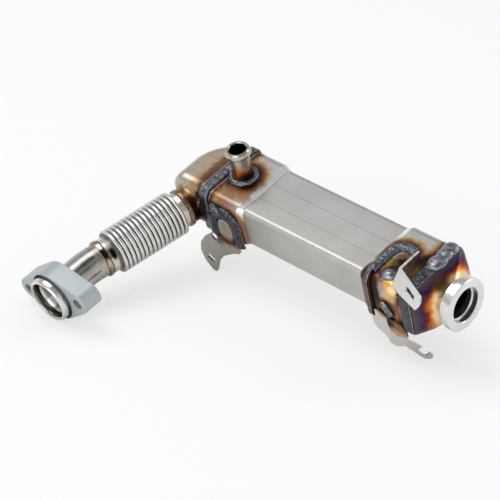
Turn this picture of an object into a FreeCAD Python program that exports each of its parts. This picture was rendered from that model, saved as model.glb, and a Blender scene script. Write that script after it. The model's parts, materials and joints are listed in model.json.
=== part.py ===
import FreeCAD, Part
import math
import os

import Sketcher

# Exhaust gas cooler with a bellows outlet, lying on its flange and brackets.
# The core frame has X along the core towards the clamp flange, Y to the back and Z up from the core's top.
# Its origin is on the core's axis, at the step between the left tank and the casing.

doc = FreeCAD.newDocument("EgrCooler")
sheet = doc.addObject("Spreadsheet::Sheet", "Sizes")


class Size:
    """A length or count together with the sheet expression that gives it."""

    def __init__(self, value, text):
        self.value = value
        self.text = text

    def __add__(self, other):
        return Size(self.value + number(other), f"({self.text} + {words(other)})")

    def __sub__(self, other):
        return Size(self.value - number(other), f"({self.text} - {words(other)})")

    def __rsub__(self, other):
        return Size(number(other) - self.value, f"({words(other)} - {self.text})")

    def __mul__(self, other):
        return Size(self.value * number(other), f"({self.text} * {words(other)})")

    def __truediv__(self, other):
        return Size(self.value / number(other), f"({self.text} / {words(other)})")

    def __neg__(self):
        return Size(-self.value, f"(0 - {self.text})")

    __radd__ = __add__
    __rmul__ = __mul__


def number(thing):
    return thing.value if isinstance(thing, Size) else thing


def words(thing):
    return thing.text if isinstance(thing, Size) else str(thing)


driving = {
    # casing
    "casing_length": 140.0,
    "casing_width": 66.0,
    "casing_height": 42.0,
    "casing_corner": 5.0,
    "casing_wall": 1.2,
    "casing_overlap": 8.0,
    # tanks
    "tank_step": 3.2,
    "tank_lip": 0.5,
    "tank_wall": 1.5,
    "left_tank_length": 45.5,
    "right_tank_length": 50.5,
    "step_length": 5.5,
    "sheet_gap": 0.1,
    # tube plates, gas tubes and their fins
    "header_thickness": 2.0,
    "tube_count": 5,
    "tube_pitch": 7.4,
    "tube_width": 56.0,
    "tube_height": 5.4,
    "tube_wall": 0.6,
    "tube_stand_out": 1.0,
    "fin_sheet": 0.4,
    "fin_pitch": 5.6,
    "fin_gap": 0.1,
    # seams
    "left_seam_width": 11.5,
    "right_seam_width": 13.0,
    "seam_rise": 2.4,
    # left hood
    "hood_depth": 42.5,
    "hood_wall": 1.5,
    "hood_edge": 12.0,
    "hood_corner": 9.0,
    "hood_turn": 41.0,
    "neck_from_seam": 20.5,
    "neck_blend": 5.0,
    "neck_length": 8.8,
    # outlet branch
    "branch_skew": 10.5,
    "cuff_wall": 0.9,
    "cuff_length": 8.0,
    "ring_width": 6.0,
    "ring_rise": 1.6,
    "bellows_pitch": 4.46,
    "bellows_count": 16,
    "bellows_crest": 21.5,
    "bellows_root": 18.0,
    "pipe_radius": 16.0,
    "pipe_wall": 1.5,
    "pipe_in_cuff": 6.0,
    "pipe_before_bend": 19.6,
    "pipe_bend": 60.0,
    "pipe_after_bend": 50.0,
    "bell_radius": 21.2,
    "bell_length": 15.5,
    "bell_mouth": 9.0,
    # loose flange
    "flange_thickness": 20.0,
    "flange_radius": 25.0,
    "flange_bolt_spacing": 72.0,
    "flange_hole": 5.2,
    "flange_lug": 11.0,
    "flange_recess": 22.0,
    "flange_recess_depth": 9.0,
    "flange_behind_lip": 7.5,
    "flange_turn": 15.0,
    "running_gap": 0.4,
    # right cone and clamp flange
    "cone_length": 22.5,
    "cone_rim": 6.0,
    "cone_shoulder": 6.0,
    "cone_radius": 18.5,
    "cone_wall": 1.5,
    "clamp_bore": 16.2,
    "clamp_radius": 24.5,
    "clamp_rim": 6.4,
    "clamp_collar": 21.0,
    "clamp_collar_length": 5.5,
    "clamp_port": 14.8,
    "clamp_port_depth": 6.0,
    "clamp_edge": 0.6,
    # coolant spigots
    "spigot_from_step": 28.0,
    "low_spigot_from_step": 12.0,
    "spigot_radius": 9.5,
    "spigot_wall": 1.4,
    "spigot_length": 33.8,
    "spigot_bead": 12.0,
    "spigot_bead_width": 6.0,
    "spigot_bead_from_end": 0.5,
    "spigot_ring_radius": 14.0,
    "spigot_ring_height": 3.5,
    # pressed brackets, all from one sheet
    "bracket_sheet": 2.0,
    "bracket_round": 2.5,
    "left_tab_from_step": 24.0,
    "left_tab_radius": 8.2,
    "left_leg_side": 14.0,
    "left_tab_level": -5.0,
    "left_fold_below": 1.0,
    "left_leg_reach": 42.44,
    "left_leg_lean": 8.2,
    "left_leg_spread": 38.5,
    "left_hole": 3.6,
    "left_slot": 2.4,
    "left_slot_length": 11.0,
    "left_bead_width": 12.0,
    "left_bead_height": 3.4,
    "left_bead_leg": 14.0,
    "right_plate_from_step": 7.5,
    "right_fold_from_step": 45.5,
    "right_lug_turn": 61.4,
    "right_lug_reach": 22.6,
    "right_lug_drop": 43.53,
    "right_slot": 2.6,
    "right_slot_length": 13.0,
    "edge_bead_length": 44.1,
    "dome_from_step": 26.5,
    "dome_from_front": 11.2,
    "dome_width": 13.0,
    "dome_height": 4.5,
    "low_weld_from_step": 28.4,
    "low_weld_level": -5.5,
    "low_weld_turn": -55.0,
    "low_weld_length": 18.0,
    "low_weld_width": 8.5,
    # clip bracket
    "clip_from_seam": 14.5,
    "clip_from_front": 16.2,
    "clip_foot": 25.0,
    "clip_arm": 39.0,
    "clip_arm_drift": 18.0,
    "clip_width": 14.2,
    "clip_fall": 9.0,
    "clip_lean": 11.0,
    "clip_sheet": 2.4,
    "clip_bend": 2.0,
    "clip_slot": 1.7,
    "clip_slot_length": 14.0,
    "clip_tip_rise": 2.4,
    "arch_from_step": 20.3,
    "arch_from_front": 34.7,
    "arch_radius": 10.5,
    "arch_leg": 8.0,
    "bead_width": 9.0,
    "bead_height": 2.8,
    "clip_weld_width": 6.5,
    # lie of the cooler on the floor
    "core_roll": 16.7,
    "core_dip": 2.0,
}


class Sizes:
    """The driving sizes by name."""


s = Sizes()
for row, (name, value) in enumerate(driving.items(), start=1):
    sheet.set(f"A{row}", name)
    sheet.set(f"B{row}", str(value))
    sheet.setAlias(f"B{row}", name)
    setattr(s, name, Size(value, f"Sizes.{name}"))
doc.recompute()

X_AXIS = FreeCAD.Vector(1, 0, 0)
Y_AXIS = FreeCAD.Vector(0, 1, 0)
Z_AXIS = FreeCAD.Vector(0, 0, 1)
ORIGIN = FreeCAD.Vector(0, 0, 0)
nodes = []


def place(x=0, y=0, z=0, axis=Z_AXIS, angle=0):
    """A place in the core frame."""
    where = FreeCAD.Vector(number(x), number(y), number(z))
    return FreeCAD.Placement(where, FreeCAD.Rotation(axis, number(angle)))


def solid_body(label):
    body = doc.addObject("PartDesign::Body", label)
    body.Label = label
    return body


def new_body(label, where=None):
    """A body that is one of the pieces handed in, with its place in the core frame."""
    body = solid_body(label)
    nodes.append((body, where or FreeCAD.Placement()))
    return body


def origin_feature(body, role):
    return [part for part in body.Origin.OriginFeatures if part.Role == role][0]


def new_sketch(body, role, offset=None):
    """A sketch on one of the body's own origin planes, moved along its normal."""
    sketch = body.newObject("Sketcher::SketchObject", body.Name + "_sketch")
    sketch.AttachmentSupport = [(origin_feature(body, role), "")]
    sketch.MapMode = "FlatFace"
    if offset is not None:
        sketch.setExpression("AttachmentOffset.Base.z", words(offset))
    return sketch


def constrain(sketch, kind, *where):
    """A driving constraint whose last argument is a size."""
    size = where[-1]
    index = sketch.addConstraint(Sketcher.Constraint(kind, *where[:-1], number(size)))
    if isinstance(size, Size):
        sketch.setExpression(f"Constraints[{index}]", size.text)
    return index


def pin_point(sketch, geometry, point, x, y):
    """Holds a point at x, y of the sketch."""
    for axis_number, kind, value in ((-2, "DistanceX", x), (-1, "DistanceY", y)):
        if isinstance(value, Size) or value != 0:
            constrain(sketch, kind, -1, 1, geometry, point, value)
        else:
            sketch.addConstraint(Sketcher.Constraint("PointOnObject", geometry, point, axis_number))


def circle(sketch, radius, x=0, y=0):
    centre = FreeCAD.Vector(number(x), number(y), 0)
    index = sketch.addGeometry(Part.Circle(centre, Z_AXIS, number(radius)))
    pin_point(sketch, index, 3, x, y)
    constrain(sketch, "Radius", index, radius)
    return index


def rounded_rectangle(sketch, width, height, radius):
    """A rectangle with round corners, its middle on the sketch's origin."""
    half_x = number(width) / 2
    half_y = number(height) / 2
    r = number(radius)
    corners = [(half_x - r, half_y - r, 0), (r - half_x, half_y - r, 90),
               (r - half_x, r - half_y, 180), (half_x - r, r - half_y, 270)]
    arcs = []
    for x, y, turn in corners:
        round_corner = Part.Circle(FreeCAD.Vector(x, y, 0), Z_AXIS, r)
        start, end = math.radians(turn), math.radians(turn + 90)
        arcs.append(sketch.addGeometry(Part.ArcOfCircle(round_corner, start, end)))
    lines = []
    for first, second in ((0, 1), (1, 2), (2, 3), (3, 0)):
        a = sketch.getPoint(arcs[first], 2)
        b = sketch.getPoint(arcs[second], 1)
        line = sketch.addGeometry(Part.LineSegment(a, b))
        sketch.addConstraint(Sketcher.Constraint("Tangent", arcs[first], 2, line, 1))
        sketch.addConstraint(Sketcher.Constraint("Tangent", line, 2, arcs[second], 1))
        lines.append(line)
    for line, kind in zip(lines, ("Horizontal", "Vertical", "Horizontal", "Vertical")):
        sketch.addConstraint(Sketcher.Constraint(kind, line))
    for arc in arcs[1:]:
        sketch.addConstraint(Sketcher.Constraint("Equal", arcs[0], arc))
    sketch.addConstraint(Sketcher.Constraint("Symmetric", arcs[0], 3, arcs[2], 3, -1, 1))
    constrain(sketch, "Radius", arcs[0], radius)
    constrain(sketch, "DistanceX", lines[1], 1, lines[3], 1, width)
    constrain(sketch, "DistanceY", lines[2], 1, lines[0], 1, height)


def polygon(sketch, points):
    """A closed outline of straight lines with every corner held."""
    vectors = [FreeCAD.Vector(number(x), number(y), 0) for x, y in points]
    count = len(points)
    lines = [sketch.addGeometry(Part.LineSegment(vectors[i], vectors[(i + 1) % count])) for i in range(count)]
    for i in range(count):
        sketch.addConstraint(Sketcher.Constraint("Coincident", lines[i - 1], 2, lines[i], 1))
    for line, (x, y) in zip(lines, points):
        pin_point(sketch, line, 1, x, y)
    return lines


def pad(body, sketch, length, reverse=False, both_sides=False):
    feature = body.newObject("PartDesign::Pad", body.Name + "_pad")
    feature.Profile = sketch
    feature.setExpression("Length", words(length))
    feature.Reversed = reverse
    feature.Midplane = both_sides
    return feature


def pocket(body, sketch, length=None, reverse=False, both_sides=False):
    feature = body.newObject("PartDesign::Pocket", body.Name + "_pocket")
    feature.Profile = sketch
    if length is None:
        feature.Type = "ThroughAll"
    else:
        feature.setExpression("Length", words(length))
    feature.Reversed = reverse
    feature.Midplane = both_sides
    return feature


def revolve(body, sketch, axis="H_Axis", angle=None, cut=False):
    kind = "PartDesign::Groove" if cut else "PartDesign::Revolution"
    feature = body.newObject(kind, body.Name + "_turn")
    feature.Profile = sketch
    feature.ReferenceAxis = (sketch, [axis])
    if angle is None:
        feature.Angle = 360.0
    else:
        feature.setExpression("Angle", words(angle))
    return feature


def loft(body, sketches, cut=False):
    kind = "PartDesign::SubtractiveLoft" if cut else "PartDesign::AdditiveLoft"
    feature = body.newObject(kind, body.Name + "_loft")
    feature.Profile = sketches[0]
    feature.Sections = sketches[1:]
    feature.Ruled = True
    return feature


def edge_names(shape, wanted):
    """The names of the edges that a test picks."""
    return [f"Edge{i}" for i, edge in enumerate(shape.Edges, start=1)
            if not edge.Degenerated and wanted(edge)]


def fillet(body, base, radius, wanted):
    doc.recompute()
    feature = body.newObject("PartDesign::Fillet", body.Name + "_round")
    feature.Base = (base, edge_names(base.Shape, wanted))
    feature.setExpression("Radius", words(radius))
    return feature


def chamfer(body, base, size, wanted):
    doc.recompute()
    feature = body.newObject("PartDesign::Chamfer", body.Name + "_chamfer")
    feature.Base = (base, edge_names(base.Shape, wanted))
    feature.setExpression("Size", words(size))
    return feature


# Sizes that follow from the driving ones
tank_width = s.casing_width + s.tank_step * 2
tank_height = s.casing_height + s.tank_step * 2
tank_corner = s.casing_corner + s.tank_step
left_seam = -s.left_tank_length
right_seam = s.casing_length + s.right_tank_length
tank_front = tank_width / 2
tank_top = tank_height / 2
cuff_radius = s.pipe_radius + s.sheet_gap + s.cuff_wall
bellows_start = s.neck_length + s.cuff_length
bellows_end = bellows_start + s.bellows_pitch * s.bellows_count
cuff_end = bellows_end + s.cuff_length
clamp_length = s.clamp_collar_length + s.clamp_rim
clip_bend = s.clip_from_front - tank_front


def make_casing():
    """The brushed casing, a rectangular tube that reaches into both tanks."""
    body = new_body("core_casing")
    outer = new_sketch(body, "YZ_Plane", -s.casing_overlap)
    rounded_rectangle(outer, s.casing_width, s.casing_height, s.casing_corner)
    pad(body, outer, s.casing_length + s.casing_overlap * 2)
    inner = new_sketch(body, "YZ_Plane", -s.casing_overlap)
    rounded_rectangle(inner, s.casing_width - s.casing_wall * 2, s.casing_height - s.casing_wall * 2,
                      s.casing_corner - s.casing_wall)
    pocket(body, inner, reverse=True)


def make_tank(label, length, where, spigot_place, spigot_up):
    """A tank sheet round the casing's end: local X points away from the casing, 0 at the step's foot."""
    body = new_body(label, where)

    def section(offset, step):
        """A cross-section at a station whose walls stand off the casing by the step."""
        sketch = new_sketch(body, "YZ_Plane", offset)
        rounded_rectangle(sketch, s.casing_width + step * 2, s.casing_height + step * 2, s.casing_corner + step)
        return sketch

    foot = s.step_length * 0
    step_end = s.step_length
    loft(body, [section(foot, s.sheet_gap + s.tank_lip), section(step_end, s.tank_step)])
    pad(body, section(step_end, s.tank_step), length - step_end)
    pocket(body, section(foot, s.sheet_gap), step_end, reverse=True)
    pocket(body, section(step_end, s.tank_step - s.tank_wall), length - step_end, reverse=True)
    hole = new_sketch(body, "XY_Plane")
    circle(hole, s.spigot_radius - s.spigot_wall / 2, spigot_place, 0)
    pocket(body, hole, tank_height, reverse=spigot_up)
    return body


def make_header(label, place_x, outward):
    """A tube plate across the tank's end with a slot for every gas tube."""
    body = new_body(label, place(place_x, angle=0 if outward > 0 else 180))
    plate = new_sketch(body, "YZ_Plane")
    rounded_rectangle(plate, tank_width, tank_height, tank_corner)
    pad(body, plate, s.header_thickness)
    for i in range(int(s.tube_count.value)):
        slot = new_sketch(body, "YZ_Plane")
        slot.setExpression("AttachmentOffset.Base.y", words(tube_level(i)))
        rounded_rectangle(slot, s.tube_width, s.tube_height, s.tube_height / 2 - 0.01)
        pocket(body, slot, reverse=True)
    return body


def tube_level(i):
    return s.tube_pitch * (i - (int(s.tube_count.value) - 1) / 2)


def make_tubes():
    """Flat gas tubes from plate to plate, each with a corrugated fin inside."""
    start = left_seam - s.header_thickness - s.tube_stand_out
    length = right_seam - left_seam + (s.header_thickness + s.tube_stand_out) * 2
    for i in range(int(s.tube_count.value)):
        body = new_body(f"gas_tube_{i + 1}", place(0, 0, tube_level(i)))
        outer = new_sketch(body, "YZ_Plane", start)
        rounded_rectangle(outer, s.tube_width, s.tube_height, s.tube_height / 2 - 0.01)
        pad(body, outer, length)
        inner = new_sketch(body, "YZ_Plane", start)
        rounded_rectangle(inner, s.tube_width - s.tube_wall * 2, s.tube_height - s.tube_wall * 2,
                          s.tube_height / 2 - s.tube_wall - 0.01)
        pocket(body, inner, reverse=True)
    room = s.tube_height / 2 - s.tube_wall - s.fin_gap
    half_span = s.tube_width / 2 - s.tube_height / 2
    waves = int(half_span.value * 2 / s.fin_pitch.value)
    for i in range(int(s.tube_count.value)):
        body = new_body(f"tube_fin_{i + 1}", place(0, 0, tube_level(i)))
        sketch = new_sketch(body, "YZ_Plane", start + s.tube_stand_out)
        polygon(sketch, fin_outline(room, waves))
        pad(body, sketch, length - s.tube_stand_out * 2)


def fin_outline(room, waves):
    """A square wave of sheet, up one side of each corrugation and down the other."""
    step = s.fin_pitch / 2
    left = -step * waves
    lower = []
    upper = []
    for k in range(waves * 2):
        x0 = left + step * k
        x1 = left + step * (k + 1)
        if k % 2 == 0:
            lower += [(x0, -room), (x1, -room)]
            upper += [(x0 + s.fin_sheet if k else x0, -room + s.fin_sheet), (x1 - s.fin_sheet, -room + s.fin_sheet)]
        else:
            last = k == waves * 2 - 1
            lower += [(x0, room - s.fin_sheet), (x1 if last else x1 - s.fin_sheet, room - s.fin_sheet)]
            upper += [(x0 - s.fin_sheet, room), (x1, room)]
    return lower + upper[::-1]


def seam_ring(label, middle_x, width):
    """The weld bead that closes a tank, its tube plate and the gas hood or cone."""
    body = new_body(label, place(middle_x - width / 2))
    outer = new_sketch(body, "YZ_Plane")
    rounded_rectangle(outer, tank_width + s.seam_rise * 2, tank_height + s.seam_rise * 2, tank_corner + s.seam_rise)
    ring = pad(body, outer, width)
    chamfer(body, ring, s.seam_rise * 0.8, lambda edge: edge.BoundBox.XLength < 1e-6)
    inner = new_sketch(body, "YZ_Plane")
    rounded_rectangle(inner, tank_width, tank_height, tank_corner)
    pocket(body, inner, reverse=True)
    return body


make_casing()
make_tank("coolant_tank_left", s.left_tank_length, place(0, angle=180), s.spigot_from_step, True)
make_tank("coolant_tank_right", s.right_tank_length, place(s.casing_length), s.low_spigot_from_step, False)
make_header("header_plate_left", left_seam, -1)
make_header("header_plate_right", right_seam, 1)
make_tubes()
left_ring = seam_ring("weld_seam_left", left_seam - s.header_thickness / 2, s.left_seam_width)
seam_ring("weld_seam_right", right_seam + s.header_thickness / 2, s.right_seam_width)
# the left seam gives way to the blend of the hood's neck
notch = new_sketch(left_ring, "XZ_Plane")
circle(notch, cuff_radius + s.neck_blend + s.running_gap,
       (s.left_seam_width - s.header_thickness) / 2 - s.neck_from_seam, 0)
pocket(left_ring, notch, tank_width, reverse=True)


def hood_block(label, inset):
    """The hood as a solid: an elbow in plan with a drawn neck to the front, its walls moved in by the inset."""
    body = solid_body(label)
    half = tank_front - inset
    depth = s.hood_depth - inset
    turn = s.hood_turn - inset
    flat = number(depth - turn)
    arc_y = number(turn - half)
    plan = new_sketch(body, "XY_Plane")
    start = -inset
    corners = [FreeCAD.Vector(number(start), number(half), 0), FreeCAD.Vector(number(start), number(-half), 0),
               FreeCAD.Vector(flat, number(-half), 0), FreeCAD.Vector(number(depth), arc_y, 0),
               FreeCAD.Vector(number(depth), number(half), 0)]
    seam = plan.addGeometry(Part.LineSegment(corners[0], corners[1]))
    back = plan.addGeometry(Part.LineSegment(corners[1], corners[2]))
    elbow_circle = Part.Circle(FreeCAD.Vector(flat, arc_y, 0), Z_AXIS, number(turn))
    elbow = plan.addGeometry(Part.ArcOfCircle(elbow_circle, -math.pi / 2, 0))
    side = plan.addGeometry(Part.LineSegment(corners[3], corners[4]))
    front = plan.addGeometry(Part.LineSegment(corners[4], corners[0]))
    for first, second in ((seam, back), (side, front), (front, seam)):
        plan.addConstraint(Sketcher.Constraint("Coincident", first, 2, second, 1))
    plan.addConstraint(Sketcher.Constraint("Tangent", back, 2, elbow, 1))
    plan.addConstraint(Sketcher.Constraint("Tangent", elbow, 2, side, 1))
    plan.addConstraint(Sketcher.Constraint("Horizontal", back))
    plan.addConstraint(Sketcher.Constraint("Vertical", side))
    pin_point(plan, seam, 1, start, half)
    pin_point(plan, seam, 2, start, -half)
    pin_point(plan, side, 2, depth, half)
    constrain(plan, "Radius", elbow, turn)
    block = pad(body, plan, tank_height - inset * 2, both_sides=True)
    # the upright corner between the outer wall and the front
    corner = fillet(body, block, s.hood_corner - inset, lambda edge: edge.BoundBox.ZLength > 1
                    and abs(edge.BoundBox.XMin - number(depth)) < 0.01
                    and abs(edge.BoundBox.YMin - number(half)) < 0.01)
    level = number(tank_top - inset)
    edge_radius = s.hood_edge - inset

    def long_edge(edge):
        return (edge.BoundBox.ZLength < 0.01 and abs(abs(edge.BoundBox.ZMin) - level) < 0.01
                and edge.BoundBox.XMax > 0.1)

    fillet(body, corner, edge_radius, long_edge)
    neck = new_sketch(body, "XZ_Plane")
    skew = math.radians(number(s.branch_skew))
    foot = number(edge_radius)
    inside = FreeCAD.Vector(number(s.neck_from_seam) - foot * math.sin(skew), 0,
                            foot * math.cos(skew) - number(tank_front))
    neck.AttachmentOffset = FreeCAD.Placement(inside, FreeCAD.Rotation(Y_AXIS, -number(s.branch_skew)))
    radius = cuff_radius - inset
    circle(neck, radius)
    tube = pad(body, neck, s.neck_length + edge_radius + inset, reverse=True)
    along = FreeCAD.Vector(math.sin(skew), math.cos(skew), 0)
    middle = FreeCAD.Vector(number(s.neck_from_seam), number(tank_front), 0)

    def at_neck_foot(edge):
        """True for an edge where the neck leaves the hood."""
        for point in edge.discretize(7):
            reach = (point - middle).dot(along)
            off_axis = (point - middle - along * reach).Length
            if abs(off_axis - number(radius)) > 0.05 or reach > number(s.neck_length) / 2:
                return False
        return True

    fillet(body, tube, s.neck_blend + inset, at_neck_foot)
    return body


def make_hood():
    """The pressed gas hood: the outer form less the same form moved in by the sheet."""
    hood = doc.addObject("Part::Cut", "gas_hood_left")
    hood.Base = hood_block("hood_outside", s.hood_wall * 0)
    hood.Tool = hood_block("hood_inside", s.hood_wall)
    nodes.append((hood, place(left_seam - s.header_thickness, angle=180)))


make_hood()

# The outlet branch runs along its own X, which starts on the hood's front and is skewed in plan
branch_angle = number(-90 - s.branch_skew)
branch_start = FreeCAD.Vector(number(left_seam - s.header_thickness - s.neck_from_seam), -number(tank_front), 0)
branch = FreeCAD.Placement(branch_start, FreeCAD.Rotation(Z_AXIS, branch_angle))


def make_ring(label, station, radius):
    """A raised weld round the branch."""
    body = new_body(label, branch)
    sketch = new_sketch(body, "XY_Plane")
    crest = radius + s.ring_rise
    polygon(sketch, [(station, radius), (station + s.ring_width, radius),
                     (station + s.ring_width * 0.8, crest), (station + s.ring_width * 0.2, crest)])
    revolve(body, sketch)


def make_bellows():
    """The corrugated hose over its plain liner, one fold repeated along the branch, with a cuff at each end."""
    body = new_body("bellows", branch)
    bore = cuff_radius - s.cuff_wall
    for start, stop in ((s.neck_length, bellows_start), (bellows_end, cuff_end)):
        cuff = new_sketch(body, "XY_Plane")
        polygon(cuff, [(start, bore), (stop, bore), (stop, cuff_radius), (start, cuff_radius)])
        revolve(body, cuff)
    fold = new_sketch(body, "XY_Plane")
    fold_end = bellows_start + s.bellows_pitch
    crest = (bellows_start + s.bellows_pitch / 2, s.bellows_crest)
    polygon(fold, [(bellows_start, bore), (fold_end, bore), (fold_end, s.bellows_root), crest,
                   (bellows_start, s.bellows_root)])
    turn = revolve(body, fold)
    pattern = body.newObject("PartDesign::LinearPattern", "bellows_folds")
    pattern.Originals = [turn]
    pattern.Direction = (fold, ["H_Axis"])
    pattern.setExpression("Length", words(s.bellows_pitch * (s.bellows_count - 1)))
    pattern.setExpression("Occurrences", words(s.bellows_count))
    pattern.Refine = True
    body.Tip = pattern


make_ring("neck_weld", s.neck_length - s.ring_width / 2, cuff_radius)
make_bellows()
make_ring("pipe_weld", cuff_end, s.pipe_radius)

# The pipe bends so that its bell and the loose flange face straight to the front
skew_angle = math.radians(number(s.branch_skew))
bend_corner = number(cuff_end + s.pipe_before_bend)
lip_x = branch_start.x - bend_corner * math.sin(skew_angle)
lip_y = branch_start.y - bend_corner * math.cos(skew_angle) - number(s.pipe_after_bend)
lip = FreeCAD.Vector(lip_x, lip_y, 0)


def make_pipe():
    """The bent pipe with its bell: local X runs from the mouth back towards the hood."""
    body = new_body("outlet_pipe", FreeCAD.Placement(lip, FreeCAD.Rotation(Z_AXIS, 90)))
    radius = number(s.pipe_bend)
    tangent = radius * math.tan(skew_angle / 2)
    bend_start = number(s.pipe_after_bend) - tangent
    path = new_sketch(body, "XY_Plane")
    end_x = bend_start + radius * math.sin(skew_angle)
    end_y = radius * math.cos(skew_angle) - radius
    run = number(s.pipe_before_bend) - tangent + number(s.pipe_in_cuff)
    far = FreeCAD.Vector(end_x + run * math.cos(skew_angle), end_y - run * math.sin(skew_angle), 0)
    straight = path.addGeometry(Part.LineSegment(FreeCAD.Vector(number(s.bell_length), 0, 0),
                                                 FreeCAD.Vector(bend_start, 0, 0)))
    bend = path.addGeometry(Part.ArcOfCircle(Part.Circle(FreeCAD.Vector(bend_start, -radius, 0), Z_AXIS, radius),
                                             math.pi / 2 - skew_angle, math.pi / 2))
    rear = path.addGeometry(Part.LineSegment(FreeCAD.Vector(end_x, end_y, 0), far))
    path.addConstraint(Sketcher.Constraint("Tangent", straight, 2, bend, 2))
    path.addConstraint(Sketcher.Constraint("Tangent", bend, 1, rear, 1))
    pin_point(path, straight, 1, s.bell_length, 0)
    path.addConstraint(Sketcher.Constraint("Horizontal", straight))
    constrain(path, "Radius", bend, s.pipe_bend)
    path.addConstraint(Sketcher.Constraint("DistanceX", -1, 1, straight, 2, bend_start))
    path.addConstraint(Sketcher.Constraint("DistanceX", -1, 1, rear, 2, far.x))
    path.addConstraint(Sketcher.Constraint("DistanceY", -1, 1, rear, 2, far.y))
    wall = new_sketch(body, "YZ_Plane", s.bell_length)
    circle(wall, s.pipe_radius)
    circle(wall, s.pipe_radius - s.pipe_wall)
    pipe = body.newObject("PartDesign::AdditivePipe", "outlet_run")
    pipe.Profile = wall
    pipe.Spine = (path, ["Edge1", "Edge2", "Edge3"])
    bell = new_sketch(body, "XY_Plane")
    inside = s.bell_radius - s.pipe_wall
    polygon(bell, [(0, inside), (s.bell_mouth, inside), (s.bell_length, s.pipe_radius - s.pipe_wall),
                   (s.bell_length, s.pipe_radius), (s.bell_mouth + 1, s.bell_radius), (0, s.bell_radius)])
    revolve(body, bell)


def make_flange():
    """The thick two-bolt flange, loose on the pipe and held by the bell in its recess."""
    front = FreeCAD.Vector(lip.x, lip.y + number(s.flange_behind_lip), 0)
    upright = FreeCAD.Rotation(X_AXIS, 90)
    turned = FreeCAD.Rotation(Z_AXIS, number(s.flange_turn))
    body = new_body("loose_flange", FreeCAD.Placement(front, upright.multiply(turned)))
    outline = new_sketch(body, "XY_Plane")
    big = number(s.flange_radius)
    small = number(s.flange_lug)
    reach = number(s.flange_bolt_spacing) / 2
    lean = math.asin((big - small) / reach)
    top = Part.ArcOfCircle(Part.Circle(ORIGIN, Z_AXIS, big), math.pi / 2 - lean, math.pi / 2 + lean)
    left = Part.ArcOfCircle(Part.Circle(FreeCAD.Vector(-reach, 0, 0), Z_AXIS, small),
                            math.pi / 2 + lean, 3 * math.pi / 2 - lean)
    bottom = Part.ArcOfCircle(Part.Circle(ORIGIN, Z_AXIS, big), 3 * math.pi / 2 - lean, 3 * math.pi / 2 + lean)
    right = Part.ArcOfCircle(Part.Circle(FreeCAD.Vector(reach, 0, 0), Z_AXIS, small),
                             lean - math.pi / 2, math.pi / 2 - lean)
    arcs = [outline.addGeometry(arc) for arc in (top, left, bottom, right)]
    for i in range(4):
        first, following = arcs[i], arcs[(i + 1) % 4]
        side = outline.addGeometry(Part.LineSegment(outline.getPoint(first, 2), outline.getPoint(following, 1)))
        outline.addConstraint(Sketcher.Constraint("Tangent", first, 2, side, 1))
        outline.addConstraint(Sketcher.Constraint("Tangent", side, 2, following, 1))
    for arc, size in zip(arcs, (s.flange_radius, s.flange_lug) * 2):
        constrain(outline, "Radius", arc, size)
    for arc in (arcs[0], arcs[2]):
        outline.addConstraint(Sketcher.Constraint("Coincident", arc, 3, -1, 1))
    pin_point(outline, arcs[1], 3, -s.flange_bolt_spacing / 2, 0)
    pin_point(outline, arcs[3], 3, s.flange_bolt_spacing / 2, 0)
    block = pad(body, outline, s.flange_thickness, reverse=True)
    edge_break = chamfer(body, block, s.running_gap * 2, lambda edge: edge.BoundBox.ZLength < 0.01)
    bore = new_sketch(body, "XY_Plane")
    circle(bore, s.pipe_radius + s.running_gap)
    pocket(body, bore)
    recess = new_sketch(body, "XY_Plane")
    circle(recess, s.flange_recess)
    pocket(body, recess, s.flange_recess_depth)
    holes = new_sketch(body, "XY_Plane")
    circle(holes, s.flange_hole, -s.flange_bolt_spacing / 2, 0)
    circle(holes, s.flange_hole, s.flange_bolt_spacing / 2, 0)
    pocket(body, holes)
    return edge_break


make_pipe()
make_flange()


def make_cone():
    """The gas cone from the tube plate's rectangle to the round outlet, with a shoulder on its way."""
    body = new_body("gas_cone_right", place(right_seam + s.header_thickness))

    def section(offset, width, height, corner, inset):
        sketch = new_sketch(body, "YZ_Plane", offset)
        rounded_rectangle(sketch, width - inset * 2, height - inset * 2, corner - inset)
        return sketch

    mouth = s.cone_radius * 2
    shoulder_width = (tank_width + mouth) / 2 + s.cone_shoulder
    shoulder_height = (tank_height + mouth) / 2 + s.cone_shoulder / 3
    halfway = (s.cone_rim + s.cone_length) / 2

    def sections(inset):
        return [section(s.cone_rim, tank_width, tank_height, tank_corner, inset),
                section(halfway, shoulder_width, shoulder_height, s.cone_radius * 0.8, inset),
                section(s.cone_length, mouth, mouth, s.cone_radius - 0.05, inset)]

    none = s.cone_wall * 0
    pad(body, section(none, tank_width, tank_height, tank_corner, none), s.cone_rim)
    loft(body, sections(none))
    pocket(body, section(none, tank_width, tank_height, tank_corner, s.cone_wall), s.cone_rim, reverse=True)
    loft(body, sections(s.cone_wall), cut=True)


def make_clamp_flange():
    """The turned clamp flange: a collar on the cone, a thick rim and a stepped bore."""
    body = new_body("clamp_flange", place(right_seam + s.header_thickness + s.cone_length))
    sketch = new_sketch(body, "XY_Plane")
    rim_start = s.clamp_collar_length
    end = clamp_length
    step = end - s.clamp_port_depth
    edge = s.clamp_edge
    polygon(sketch, [(0, s.clamp_port), (step, s.clamp_port), (step, s.clamp_bore), (end - edge, s.clamp_bore),
                     (end, s.clamp_bore + edge), (end, s.clamp_radius - edge), (end - edge, s.clamp_radius),
                     (rim_start + edge, s.clamp_radius), (rim_start, s.clamp_radius - edge),
                     (rim_start, s.clamp_collar), (0, s.clamp_collar)])
    revolve(body, sketch)


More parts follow.
